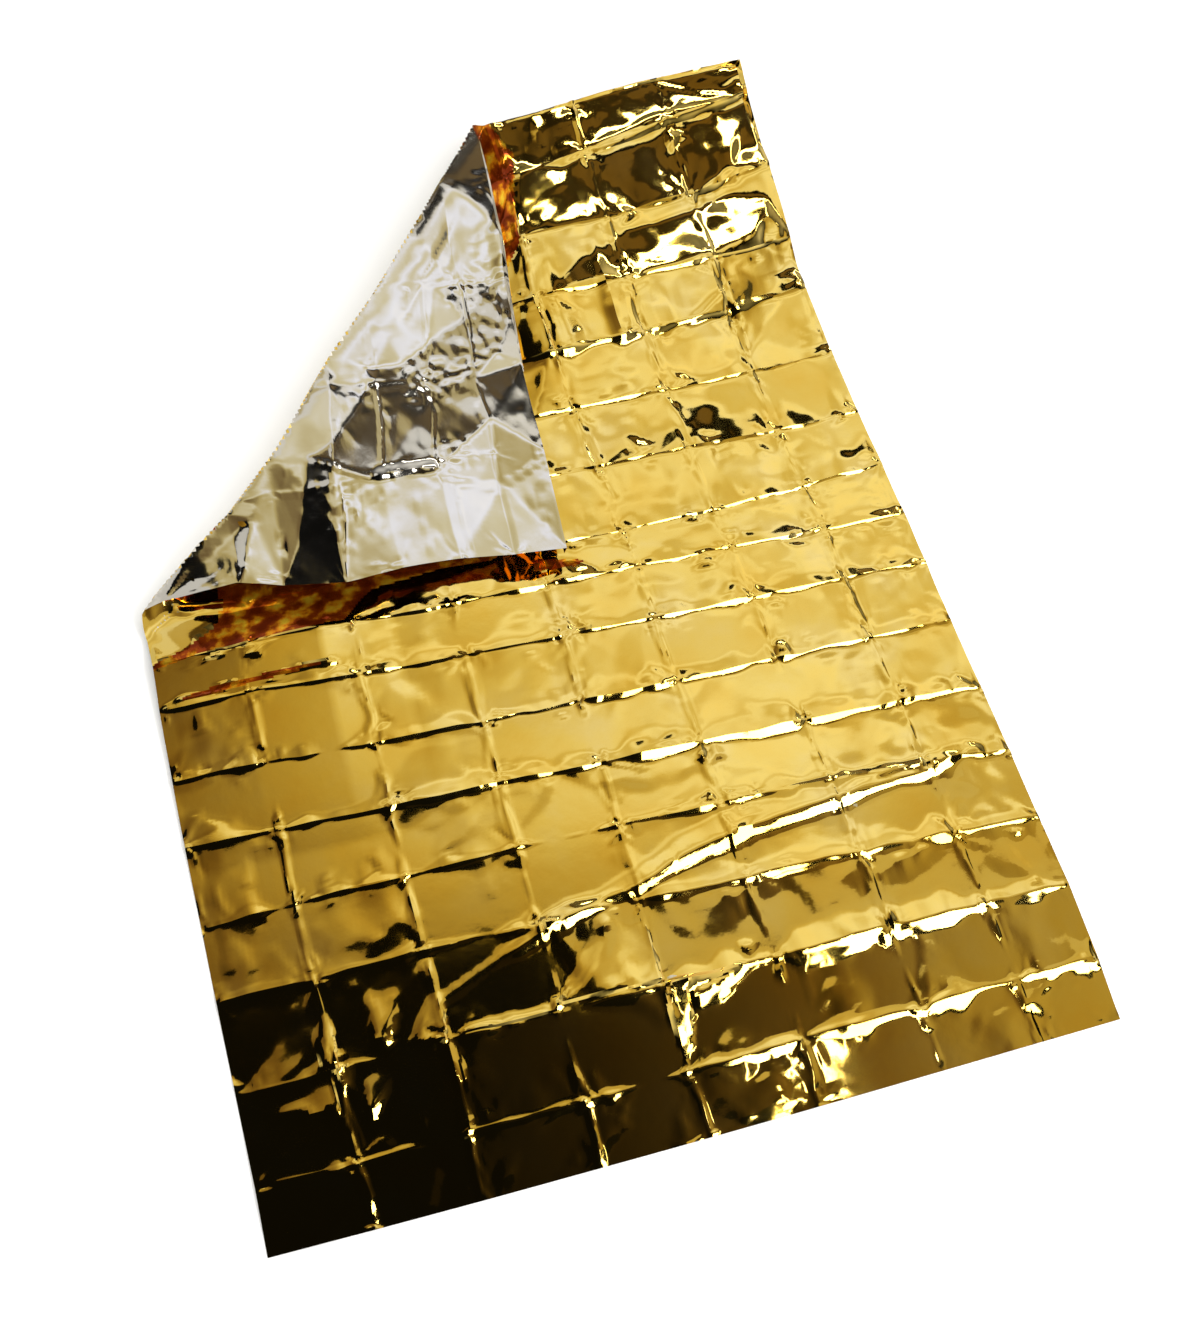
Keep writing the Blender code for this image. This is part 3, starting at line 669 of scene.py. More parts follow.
# The bent plates at the far end: corners as column and row; e and o stay level.
FAR_CORNERS = {
    "e1": (4.45, 10.9), "e2": (8.0, 10.9), "e3": (8.0, 15.97), "e4": (4.45, 15.97), "e5": (4.45, 12.05), "e6": (4.45, 13.0), "e7": (4.45, 13.96), "o1": (0.0, 0.0), "o2": (8.0, 0.0), "o3": (8.0, 16.0), "o4": (0.0, 16.0),
    "a1": (4.95, 12.05), "a2": (5.98, 12.05), "a3": (6.68, 12.05), "a4": (7.04, 12.12), "a5": (7.55, 12.08), "a6": (8.0, 12.05),
    "c1": (4.95, 13.00), "c2": (5.11, 12.98), "c3": (5.95, 13.03), "c4": (6.88, 13.06), "c5": (7.45, 13.12), "c6": (7.63, 13.10), "c7": (8.0, 13.05),
    "h1": (5.60, 13.12), "h2": (6.01, 13.27), "h3": (6.50, 13.38), "h4": (6.96, 13.47), "h5": (7.07, 13.75), "h6": (6.25, 13.74), "h7": (5.56, 13.44),
    "n1": (7.43, 13.81), "n2": (7.87, 13.57), "n3": (7.76, 13.35), "n4": (7.57, 13.16),
    "g1": (4.95, 13.96), "g2": (5.92, 14.0), "g3": (7.08, 13.97), "g4": (7.80, 13.85), "g5": (7.93, 13.98), "g6": (7.48, 13.98),
    "t1": (7.48, 14.13), "t2": (7.74, 14.30), "t3": (8.0, 14.28), "t4": (8.0, 14.02), "v1": (7.78, 14.91), "v2": (7.98, 14.92), "v3": (7.90, 14.70), "v4": (7.58, 14.33), "v5": (7.46, 14.40),
    "s1": (7.05, 15.06), "s2": (7.97, 15.06), "s3": (7.97, 15.95), "s4": (7.10, 15.95), "s5": (6.05, 15.10), "s6": (6.15, 15.95),
    "x1": (7.30, 14.95), "x2": (6.00, 14.95), "x3": (5.30, 14.08),
    "y1": (5.19, 15.19), "y2": (5.35, 15.04), "y3": (5.63, 14.85), "y4": (5.61, 14.66), "y5": (5.43, 14.70),
    "b1": (6.90, 12.98), "b2": (7.61, 12.98), "b3": (7.96, 12.55), "b4": (6.92, 12.34),
    "k1": (5.95, 11.95), "k2": (6.68, 11.95), "k3": (7.02, 11.97), "k4": (6.95, 11.10), "k5": (6.44, 11.12), "k6": (5.91, 11.10),
    "l1": (6.47, 11.73), "l2": (6.90, 11.62), "l3": (6.87, 11.22), "l4": (6.41, 11.23), "z1": (7.11, 11.95), "z2": (7.89, 11.90), "z3": (7.86, 11.21), "z4": (7.05, 11.16),
}
FAR_PLATES = (
    ("c2 c3 c4 h4 h3 h2 h1", 2.6, 4.22, 3.0),
    ("h7 h6 h5 h4 h3 h2", 2.5, 3.3, 2.0),
    ("h5 n1 n2 n3 n4 c5 c4 h4", 2.9, 4.22, 3.0),
    ("h6 h5 n1 g4 g5 g6 g3 g2", 2.6, 1.9, 0.9),
    ("c1 c2 h1 h7 h6 g2 g1", 3.6, 2.1, 0.7),
    ("t1 t2 t3 t4", 2.9, 4.22, 1.6),
    ("v1 v2 v3 v4 v5", 2.9, 4.22, 1.6),
    ("y1 y2 y3 y4 y5", 2.2, 4.22, 1.6),
    ("g2 g3 v5 x1 x2 y4 x3", 2.4, 3.15, 1.8),
    ("s1 s2 s3 s4", 2.6, 3.2, 1.6),
    ("s5 s1 s4 s6", 2.2, 3.3, 1.0),
    ("b1 b2 b3 a5 b4", 4.0, 1.3, 1.0),
    ("a1 a2 a3 b4 b1 c3 c2 c1", 2.2, 1.0, 0.6),
    ("l1 l2 l3 l4", 2.3, 1.3, 1.2),
    ("k1 k2 k3 k4 k5 k6", 4.0, 1.3, 1.0),
    ("z1 z2 z3 z4", 3.9, 1.2, 0.8),
)
far_plates = plates(FAR_CORNERS, FAR_PLATES, {n for n in FAR_CORNERS if n[0] in "eo"}, 0.30)
far_plates = np.maximum(far_plates, -0.6 * lift(U0, V0))
sheet_folds = row_creases() + column_creases() + long_ridge() + sharp_ridges() + far_plates
for corners in FACETS:
    sheet_folds += patch(corners)
fine = crumple(0.095, 0.0025, 1) + crumple(0.042, 0.00115, 2, 1.3) + crumple(0.017, 0.00011, 4, 1.5) + small_wrinkles(1100, 3) + pinches(31) + dimples(460, 41)
sheet_relief = np.maximum(-0.65 * lift(U0, V0), sheet_folds + fine + crushed())

# The turned-over corner. Its plates' corners, as column and row: b on its free near edge, f on the fold, k on column 1.
FLAP_CORNERS = {
    "b0": (0.0, 8.95), "b1": (0.0, 9.5), "b2": (0.0, 10.1), "b3": (0.0, 10.9), "b4": (0.0, 12.0), "b5": (0.0, 12.3), "b6": (0.0, 13.0),
    "b7": (0.0, 13.86), "b8": (0.0, 14.05), "b9": (0.0, 15.04), "b10": (0.0, 15.16), "b11": (0.0, 16.0),
    "f0": (0.0, 8.70), "f1": (0.515, 9.5), "f2": (0.837, 10.0), "f3": (1.159, 10.5), "f4": (1.35, 10.8), "f5": (1.803, 11.5),
    "f6": (2.253, 12.2), "f7": (2.768, 13.0), "f8": (3.412, 14.0), "f9": (4.056, 15.0), "f10": (4.70, 16.0),
    "k2": (1.31, 11.42), "k3": (1.18, 11.90), "k4": (0.93, 12.73), "k4b": (0.865, 12.80), "k5": (0.80, 13.80), "k6": (0.77, 13.97),
    "k7": (0.70, 15.06), "k8": (0.70, 15.16), "k9": (0.91, 16.0),
    "m1": (0.36, 9.61), "m2": (0.62, 10.0), "m3": (0.74, 10.36), "m4": (0.48, 11.22), "m6": (0.73, 11.61), "m7": (0.53, 11.87), "m8": (0.50, 12.29),
    "w1": (0.98, 12.82), "w2": (0.90, 13.87), "d1": (2.05, 13.07), "d2": (2.18, 13.14), "d4": (2.03, 13.99), "d5": (1.72, 14.08),
    "u1": (1.86, 14.96), "u2": (1.38, 15.14), "u3": (1.61, 14.96), "u4": (0.98, 16.0), "u5": (1.95, 16.0), "u6": (1.43, 11.97),
    "u9": (2.20, 13.62), "u10": (2.41, 14.21), "u11": (3.05, 14.21), "u12": (2.97, 14.48), "u13": (2.96, 15.11), "u14": (2.59, 15.01),
    "u16": (2.33, 14.90), "u17": (2.17, 14.90), "u18": (2.05, 15.09), "u19": (2.11, 15.54), "u20": (2.94, 15.82), "u21": (2.54, 16.0),
    "t3": (3.51, 16.0), "t4": (3.53, 15.36), "t5": (3.26, 14.95), "t6": (2.94, 16.0),
    "o1": (8.0, 16.0), "o2": (8.0, 0.0), "o3": (0.0, 0.0),
}
# Each plate: its corners, the spot (x, y) of the lights' plane that it mirrors, and its weight.
FLAP_PLATES = (
    ("b0 b1 m1 f1 f0", -0.9, 2.7, 0.9),
    ("m1 b1 b2 m2", -0.9, 2.6, 0.8),
    ("f1 m1 m2 f2", -0.9, 2.6, 0.5),
    ("m2 f2 f3 f4 m3 b2", -1.6, 1.0, 1.0),
    ("f4 m3 b2 b3", 0.8, 1.7, 0.8),
    ("f4 k2 m4 b3", -0.25, 0.9, 0.9),
    ("m6 m4 b3 b4 m7", -1.6, 1.0, 1.0),
    ("k2 k3 k4 m7 m6 m4", -0.5, 1.6, 0.6),
    ("k4 m8 m7", 0.6, 3.0, 0.9),
    ("m7 m8 b5 b4", 1.0, 1.8, 0.8),
    ("k4 k4b b6 b5 m8", 0.05, 1.1, 0.8),
    ("k4b k5 b7 b6", 1.5, 1.6, 0.9),
    ("k5 k6 b8 b7", -0.1, 1.0, 0.9),
    ("k6 k7 b9 b8", 2.2, 1.7, 0.9),
    ("k7 k8 b10 b9", -0.1, 1.0, 0.9),
    ("k8 k9 b11 b10", 1.0, 2.1, 0.8),
    ("w1 w2 k5 k4b", 1.2, 1.3, 3.0),
    ("k3 u6 d1 w1 k4", 1.20, 3.08, 3.5),
    ("d1 d2 u9 d4 d5 w2 w1", 1.20, 3.08, 6.0),
    ("f4 f5 f6 u6 k3 k2", 0.3, 1.8, 0.5),
    ("u6 f6 d1", 1.0, 1.6, 0.6),
    ("f6 f7 d2 d1", 0.6, 1.7, 0.5),
    ("f7 f8 u11 u10 u9 d2", 1.0, 1.8, 0.5),
    ("u9 u10 u16 u17 u1 d5 d4", 1.0, 2.92, 2.2),
    ("d5 u1 u3 u2 k7 k6 k5 w2", 0.8, 1.6, 0.9),
    ("u2 u4 k9 k8 k7", -0.40, 0.8, 2.0),
    ("u1 u5 u4 u2 u3", 1.8, 1.7, 0.7),
    ("u11 u12 u14 u16 u10", 1.5, 1.6, 0.6),
    ("u12 u13 u14", 0.6, 3.0, 1.0),
    ("u13 u20 u21 u19 u18 u17 u16 u14", 0.9, 3.03, 2.2),
    ("u19 u21 u5 u1 u18", 1.2, 1.8, 0.6),
    ("u11 f8 f9 t4 t5 u12", 1.2, 1.6, 0.5),
    ("f9 f10 t3 t4", 0.3, 2.0, 0.5),
    ("t4 t3 t6 u20 u13 t5", 1.1, 1.9, 0.7),
)
FLAP_RIDGES = (
    (((1.31, 11.42), (1.18, 11.90), (0.93, 12.73)), 0.36, 5, 0.20, 5),
    (((0.79, 13.80), (0.72, 14.6), (0.70, 15.06), (0.91, 16.05)), 0.30, 4, 0.20, 5),
    (((0.98, 12.82), (1.5, 12.95), (2.05, 13.07)), 0.30, 5, 0.22, 5),
    (((0.90, 13.87), (1.3, 13.97), (1.72, 14.08)), 0.30, 3.5, 0.22, 4),
    (((1.86, 14.96), (1.38, 15.10), (0.70, 15.06)), 0.25, 4, 0.20, 5),
    (((0.60, 14.20), (0.0, 14.28)), 0.25, 4, 0.20, 4),
    (((0.70, 15.55), (0.0, 15.60)), 0.20, 4, 0.20, 4),
    (((0.78, 13.40), (0.0, 13.60)), 0.20, 4, 0.20, 4),
    (((1.05, 12.00), (0.55, 12.05), (0.0, 12.02)), 0.30, 4, 0.30, 4),
    (((1.00, 12.25), (0.55, 12.28)), 0.30, 4, 0.30, 4),
    (((1.98, 12.40), (1.43, 11.97), (1.20, 11.90)), 0.20, 4, 0.20, 4),
    (((3.05, 14.21), (2.6, 14.18), (2.3, 14.05)), 0.25, 4, 0.20, 4),
    (((2.96, 15.08), (2.2, 15.05), (1.9, 15.0)), 0.30, 4, 0.25, 4),
)
# Where the corner is crushed: corners, how rough, size of its facets in mm.
FLAP_CRUSHED = (
    (((1.75, 13.6), (2.2, 13.6), (2.4, 14.2), (2.35, 14.9), (1.9, 14.95), (1.65, 14.1)), 2.2, 11),
    (((2.0, 15.05), (2.95, 15.05), (2.95, 15.9), (2.1, 15.6)), 1.8, 12),
    (((3.0, 15.1), (3.5, 15.4), (3.4, 16.0), (3.0, 16.0)), 1.5, 14),
    (((1.1, 11.5), (0.8, 12.8), (0.5, 12.3), (0.5, 11.3)), 1.6, 11),
    (((0.9, 13.95), (1.3, 14.1), (1.2, 14.6), (0.85, 14.5)), 1.4, 11),
    (((0.05, 8.9), (0.05, 9.8), (0.6, 9.9), (0.4, 9.2)), 1.3, 13),
)
flap_relief = plates(FLAP_CORNERS, FLAP_PLATES, {n for n in FLAP_CORNERS if n[0] in "fo"})
for path, left, left_mm, right, right_mm in FLAP_RIDGES:
    ridge_line(flap_relief, path, left, left_mm, right, right_mm)
for column, slope in ((1, 0.045), (2, -0.05), (3, 0.05), (4, -0.04)):
    ridge_line(flap_relief, ((column, 8.1), (column + 0.02, 9.0), (column - 0.02, 10.4), (column + 0.01, 12.2), (column, 14.0), (column + 0.02, 15.6)), slope, 11, slope * 1.1, 10)
ridge_line(flap_relief, ((0.98, 12.60), (0.965, 13.2), (0.94, 14.0)), 0.52, 10, 0.26, 20, 0.10)
for number, (corners, rough, size) in enumerate(FLAP_CRUSHED):
    where = patch([(*corner, 0) for corner in corners], 18.0, 1000.0)
    film = np.array(corners) * (PANEL_WIDTH, PANEL_LENGTH)
    flap_relief += where * rough * crumple(size / 1000, size * 0.00005, 900 + number, 1.2, (*(film.min(0) - 0.03), *(film.max(0) + 0.03)))
flap_relief = flap_relief * np.where(flap_relief < 0, np.clip(PAST / 0.080, 0, 1), np.clip(PAST / 0.014, 0, 1))
flap_crumple = crumple(0.11, 0.0011, 45) + crumple(0.075, 0.0005, 5) + crumple(0.036, 0.00020, 6) + 0.8 * small_wrinkles(1100, 7) + 0.6 * dimples(300, 43)
flap_relief += flap_crumple * np.clip(PAST / 0.05, 0.05, 1)

relief = mix(sheet_relief, -flap_relief, ON_FLAP)


# -------------------------------------------------------------------- the mesh
def normals(points):
    across = np.gradient(points, axis=1)
    along = np.gradient(points, axis=0)
    normal = np.cross(across, along)
    return normal / np.linalg.norm(normal, axis=-1, keepdims=True)


def outline_of_flap():
    """The turned-over corner's outline on the surface."""
    fold = FOLD_START + FOLD_ALONG * (np.linspace(0, 1, 30) * FOLD_RUN)[:, None]
    film = [*fold, (0.0, SHEET_LENGTH)]
    film = np.array(film)
    return place(film[:, 0], film[:, 1])[:, :2] - CENTRE[:2]


def edge_distance(points, polygon):
    best = np.full(points.shape[:-1], 9.0)
    for a, b in zip(polygon, np.roll(polygon, -1, 0)):
        run = b - a
        t = np.clip(((points - a) @ run) / (run @ run), 0, 1)
        best = np.minimum(best, np.linalg.norm(points - a - t[..., None] * run, axis=-1))
    return best


# Painted reflection and shade: where the gold face sees only itself, in the gap below the turned-over corner and along
# two creases, its colour is painted dark reddish and orange, standing in for light mirrored back and forth between gold
# faces: outlines in columns and rows, and how far.
PAINTED_REFLECTION_OUTLINES = (
    (((0.0, 7.90), (0.51, 8.03), (1.02, 8.05), (1.52, 8.04), (1.96, 8.08), (2.12, 8.44), (2.31, 8.70), (2.9, 8.88), (3.5, 8.90), (3.7, 9.2), (2.0, 9.8),
      (0.62, 9.8), (0.74, 8.9), (0.66, 8.50), (0.42, 8.20), (0.0, 8.00)), 1.0),
    (((0.16, 7.12), (0.60, 7.10), (1.05, 7.17), (1.46, 7.24), (1.90, 7.33), (1.48, 7.34), (1.10, 7.30), (0.70, 7.28), (0.40, 7.22)), 0.9),
    (((4.90, 16.2), (5.15, 15.4), (5.03, 14.6), (4.92, 13.9), (4.70, 13.6), (4.40, 13.9), (4.40, 16.2)), 0.75),
    (((3.85, 8.75), (4.10, 8.65), (4.50, 8.45), (4.35, 8.25), (3.85, 8.35)), 0.6),
)


# The share of the painted reflection and shade at each lattice point, fading across a 10 mm band at each outline.
def painted_reflection_mask():
    out = np.zeros(U.shape)
    cut = np.stack((U0, V0), -1)
    for corners, share in PAINTED_REFLECTION_OUTLINES:
        outline = np.array(corners) * (PANEL_WIDTH, PANEL_LENGTH)
        away = edge_distance(cut, outline) * np.where(inside_polygon(cut, outline), 1, -1)
        out = np.maximum(out, share * np.clip(0.5 + away / 0.010, 0, 1))
    return out


smooth_film = place(U, V) - CENTRE
up = normals(smooth_film)
flap_outline = outline_of_flap()
under = inside_polygon(smooth_film[..., :2], flap_outline) & (PAST < 0)
free_edges = np.concatenate((flap_outline[:-1] - 0.3 * INWARD, flap_outline[-2:], flap_outline[:1]))
under = np.where(under, np.clip(edge_distance(smooth_film[..., :2], free_edges) / 0.035, 0, 1) * np.clip(-PAST / 0.012, 0, 1), 0.0)
relief = relief * (1 - 0.92 * under)  # pressed flatter under the corner
middle = smooth_film + up * relief[..., None]


def clear_of_sheet(points, gap):
    """Raises the turned-over corner where it would sink into the sheet below it."""
    rows, columns = U.shape
    index = np.arange(rows * columns).reshape(rows, columns)
    below = (PAST < -0.004)[:-1, :-1]
    quads = np.stack((index[:-1, :-1][below], index[:-1, 1:][below], index[1:, 1:][below], index[1:, :-1][below]), 1)
    tree = BVHTree.FromPolygons(points.reshape(-1, 3).tolist(), quads.tolist())
    rise = np.zeros(U.shape)
    for j, i in zip(*np.nonzero(PAST > 0.004)):
        x, y, z = points[j, i]
        hit = tree.ray_cast(Vector((x, y, 0.5)), Vector((0, 0, -1)))[0]
        clear = min(gap, 0.2 * PAST[j, i])
        if hit and z < hit.z + clear:
            rise[j, i] = hit.z + clear - z
    print("raised", int((rise > 0).sum()), "by up to", round(float(rise.max()) * 1000, 1), "mm")
    rise = widest(rise, 3, np.maximum)
    for _ in range(3):
        padded = np.pad(rise, 1, mode="edge")
        rise = (padded[:-2, 1:-1] + padded[2:, 1:-1] + padded[1:-1, :-2] + padded[1:-1, 2:] + 2 * rise) / 6
    return rise * np.clip(PAST / 0.03, 0, 1)


rise = clear_of_sheet(middle, 0.006)
middle[..., 2] += rise
relief = relief - rise
gold_normal = normals(middle)


def coarse_centres(values):
    return values[COARSE // 2 :: COARSE, COARSE // 2 :: COARSE]


spots = coarse_centres(middle)[..., :2]
hidden = inside_polygon(spots, flap_outline) & (edge_distance(spots, flap_outline) > 0.035)
centre_past = coarse_centres(PAST)
border = np.ones(spots.shape[:2], bool)
border[1:-1, 1:-1] = False
gold_in_view = (centre_past < 0.02) & ~hidden
silver_in_view = centre_past > -0.05
fine_gold = gold_in_view | border
fine_silver = silver_in_view | border

# Where a face of the film is out of view its mesh is coarse, so it keeps clear of the folds by lying a little off them.
lattice_from_rim = np.minimum.outer(
    np.minimum(np.arange(U.shape[0]), np.arange(U.shape[0])[::-1]), np.minimum(np.arange(U.shape[1]), np.arange(U.shape[1])[::-1])
)
from_rim = np.clip(lattice_from_rim / COARSE, 0, 1)


def off_folds(in_view):
    shown = np.zeros(U.shape, bool)
    cell = np.kron(in_view, np.ones((COARSE, COARSE), bool))
    for dy in (0, 1):
        for dx in (0, 1):
            shown[dy : dy + cell.shape[0], dx : dx + cell.shape[1]] |= cell
    return np.where(shown, 0.0, from_rim)


def clearance(side):
    """How far the corners of the coarse cells move off the folds, so that each flat coarse cell clears what it covers."""
    corners = relief[::COARSE, ::COARSE]
    at_row, at_column = np.arange(U.shape[0]) / COARSE, np.arange(U.shape[1]) / COARSE
    j = np.minimum(at_row.astype(int), corners.shape[0] - 2)
    i = np.minimum(at_column.astype(int), corners.shape[1] - 2)
    fj, fi = (at_row - j)[:, None], (at_column - i)[None, :]
    a, b = corners[np.ix_(j, i)], corners[np.ix_(j, i + 1)]
    c, d = corners[np.ix_(j + 1, i + 1)], corners[np.ix_(j + 1, i)]
    level = (1 - fj) * ((1 - fi) * a + fi * b) + fj * ((1 - fi) * d + fi * c)
    past = np.maximum(0.0, side * (relief - level)) + np.abs(a - b + c - d) / 4 + 0.0002
    return widest(past, COARSE, np.maximum)


highest, lowest = clearance(1.0), clearance(-1.0)
gold_points = middle + gold_normal * (FILM / 2) + up * (off_folds(gold_in_view) * highest)[..., None]
silver_points = middle - gold_normal * (FILM / 2) - up * (off_folds(silver_in_view) * lowest)[..., None]
silver_points[..., 2] = np.maximum(silver_points[..., 2], np.minimum(middle[..., 2] - FILM / 2, -0.0008))  # stays on the surface


def film_mesh():
    rows, columns = U.shape
    count = rows * columns
    index = np.arange(count).reshape(rows, columns)
    quads, polygons = [], []
    used = {}
    for side, (fine_cells, offset) in enumerate(((fine_gold, 0), (fine_silver, count))):
        cell = np.kron(fine_cells, np.ones((COARSE, COARSE), bool))
        a, b, c, d = index[:-1, :-1][cell], index[:-1, 1:][cell], index[1:, 1:][cell], index[1:, :-1][cell]
        quad = np.stack((a, b, c, d), 1) + offset
        quads.append(quad if side == 0 else quad[:, ::-1])
        padded = np.pad(fine_cells, 1, constant_values=False)
        for j, i in zip(*np.nonzero(~fine_cells)):
            y, x = j * COARSE, i * COARSE
            ring = []
            for fine_next, walk in (
                (padded[j, i + 1], [(y, x + k) for k in range(COARSE)]),
                (padded[j + 1, i + 2], [(y + k, x + COARSE) for k in range(COARSE)]),
                (padded[j + 2, i + 1], [(y + COARSE, x + COARSE - k) for k in range(COARSE)]),
                (padded[j + 1, i], [(y + COARSE - k, x) for k in range(COARSE)]),
            ):
                ring += [index[p] + offset for p in (walk if fine_next else walk[:1])]
            polygons.append((side, ring if side == 0 else ring[::-1]))
    rim = []
    for edge, cells, walk in (
        ("near", 0, lambda k: (0, k)), ("right", 1, lambda k: (k, columns - 1)),
        ("far", 2, lambda k: (rows - 1, k)), ("left", 3, lambda k: (k, 0)),
    ):
        length = (columns, rows, columns, rows)[cells] - 1
        for start in range(0, length, COARSE):
            number = start // COARSE
            spot = ((0, number), (number, -1), (-1, number), (number, 0))[cells]
            steps = range(start, start + COARSE + 1)
            gold = [index[walk(k)] for k in (steps if fine_gold[spot] else (start, start + COARSE))]
            silver = [index[walk(k)] + count for k in (steps if fine_silver[spot] else (start, start + COARSE))]
            if cells in (2, 3):
                gold, silver = gold[::-1], silver[::-1]
            i = j = 0
            while i < len(gold) - 1 or j < len(silver) - 1:
                if j == len(silver) - 1 or (i < len(gold) - 1 and (i + 1) / (len(gold) - 1) <= (j + 1) / (len(silver) - 1)):
                    rim.append((gold[i + 1], gold[i], silver[j]))
                    i += 1
                else:
                    rim.append((silver[j], silver[j + 1], gold[i]))
                    j += 1
    return quads, polygons, rim, count


def build_film():
    quads, polygons, rim, count = film_mesh()
    faces = [tuple(int(i) for i in q) for part in quads for q in part]
    slots = [0] * len(quads[0]) + [1] * len(quads[1])
    painted_reflection_share = painted_reflection_mask().ravel()
    # Gold faces mostly inside the outlines get the painted reflection and shade finish.
    slots = [2 if slot == 0 and painted_reflection_share[list(face)].mean() > 0.5 else slot for face, slot in zip(faces, slots)]
    faces += [tuple(int(i) for i in ring) for _, ring in polygons]
    slots += [side for side, _ in polygons]
    faces += [tuple(int(i) for i in t) for t in rim]
    slots += [0] * len(rim)
    points = np.concatenate((gold_points.reshape(-1, 3), silver_points.reshape(-1, 3)))
    cut = np.stack((U0, V0), -1).reshape(-1, 2)
    cut = np.concatenate((cut, cut))
    used = np.zeros(len(points), bool)
    flat = np.array([i for f in faces for i in f])
    used[flat] = True
    new = np.cumsum(used) - 1
    faces = [tuple(int(new[i]) for i in f) for f in faces]
    mesh = bpy.data.meshes.new("foil_film")
    mesh.from_pydata(points[used].tolist(), [], faces)
    mesh.polygons.foreach_set("material_index", slots)
    mesh.polygons.foreach_set("use_smooth", [True] * len(faces))
    corners = np.empty(len(mesh.loops), np.int32)
    mesh.loops.foreach_get("vertex_index", corners)
    old = np.flatnonzero(used)[corners]
    cut_map = mesh.uv_layers.new(name="cut")
    cut_map.uv.foreach_set("vector", cut[old].astype(np.float32).ravel())
    # one map for the whole film: the gold face on the left, the silver face on the right
    slot_of_loop = np.repeat(slots, [len(f) for f in faces])
    laid = cut[old] / 3.26 + 0.005
    laid[:, 0] = np.where(slot_of_loop == 1, laid[:, 0] + 1.62 / 3.26, laid[:, 0])
    bake_map = mesh.uv_layers.new(name="OFBake")
    bake_map.uv.foreach_set("vector", laid.astype(np.float32).ravel())
    mesh.set_sharp_from_angle(angle=math.radians(22))
    film = bpy.data.objects.new("foil_film", mesh)
    bpy.context.scene.collection.objects.link(film)
    print("triangles", sum(len(f) - 2 for f in faces), "vertices", int(used.sum()))
    return film


film = build_film()


# -------------------------------------------------------------------- finishes
class Nodes:
    def __init__(self, name):
        self.material = bpy.data.materials.new(name)
        self.material.use_nodes = True
        self.tree = self.material.node_tree
        self.shader = self.tree.nodes["Principled BSDF"]

    def add(self, kind, **settings):
        node = self.tree.nodes.new(kind)
        for name, value in settings.items():
            setattr(node, name, value)
        return node

    def link(self, a, b):
        self.tree.links.new(a, b)


def foil(name, stops, roughness, coat, patches=7.0):
    """Metallised polyester: a mirror-like metal under a thin clear film, with fine creases in both."""
    n = Nodes(name)
    n.shader.inputs["Metallic"].default_value = 1.0
    n.shader.inputs["Roughness"].default_value = roughness
    n.shader.inputs["Coat Weight"].default_value = coat
    n.shader.inputs["Coat Roughness"].default_value = 0.04
    cut = n.add("ShaderNodeUVMap", uv_map="cut")
    blotch = n.add("ShaderNodeTexNoise")
    blotch.inputs["Scale"].default_value = patches
    blotch.inputs["Detail"].default_value = 6.0
    n.link(cut.outputs["UV"], blotch.inputs["Vector"])
    ramp = n.add("ShaderNodeValToRGB")
    ramp.color_ramp.elements[0].position, ramp.color_ramp.elements[0].color = stops[0][0], (*stops[0][1], 1)
    ramp.color_ramp.elements[1].position, ramp.color_ramp.elements[1].color = stops[-1][0], (*stops[-1][1], 1)
    for position, colour in stops[1:-1]:
        ramp.color_ramp.elements.new(position).color = (*colour, 1)
    n.link(blotch.outputs["Fac"], ramp.inputs["Fac"])
    n.link(ramp.outputs["Color"], n.shader.inputs["Base Color"])
    # fine wrinkles, too small for the mesh: soft ones, then hairline ones in patches
    soft = n.add("ShaderNodeTexNoise")
    soft.inputs["Scale"].default_value = 34.0
    soft.inputs["Detail"].default_value = 4.0
    n.link(cut.outputs["UV"], soft.inputs["Vector"])
    hair = n.add("ShaderNodeTexNoise", noise_type="RIDGED_MULTIFRACTAL")
    hair.inputs["Scale"].default_value = 26.0
    hair.inputs["Detail"].default_value = 3.0
    hair.inputs["Lacunarity"].default_value = 2.2
    n.link(cut.outputs["UV"], hair.inputs["Vector"])
    halved = n.add("ShaderNodeMath", operation="MULTIPLY")
    halved.inputs[1].default_value = 0.22
    n.link(soft.outputs["Fac"], halved.inputs[0])
    height = n.add("ShaderNodeMath", operation="MULTIPLY_ADD")
    height.inputs[1].default_value = 0.16
    n.link(hair.outputs["Fac"], height.inputs[0])
    n.link(halved.outputs[0], height.inputs[2])
    bump = n.add("ShaderNodeBump")
    bump.inputs["Distance"].default_value = 0.00045
    n.link(height.outputs[0], bump.inputs["Height"])
    n.link(bump.outputs["Normal"], n.shader.inputs["Normal"])
    n.link(bump.outputs["Normal"], n.shader.inputs["Coat Normal"])
    return n


gold = foil("gold_face", ((0.30, (0.96, 0.61, 0.065)), (0.52, (0.97, 0.67, 0.11)), (0.72, (0.97, 0.71, 0.19))), 0.06, 1.0)
# Painted reflection and shade: a near-black reddish to orange metal that stands in for light mirrored between gold
# faces in the gap below the corner and in two creases.
painted_red_reflection = foil("painted_red_reflection_face", ((0.38, (0.20, 0.022, 0.001)), (0.50, (0.36, 0.055, 0.002)), (0.57, (0.85, 0.28, 0.006)), (0.66, (1.0, 0.60, 0.03))), 0.08, 0.0, 24.0)
painted_red_reflection.shader.inputs["Metallic"].default_value = 0.8
silver = foil("silver_face", ((0.35, (0.80, 0.745, 0.635)), (0.65, (0.85, 0.80, 0.69))), 0.09, 0.3)
film.data.materials.append(gold.material)
film.data.materials.append(silver.material)
film.data.materials.append(painted_red_reflection.material)
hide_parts("foil_sheet")
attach(film, "root")

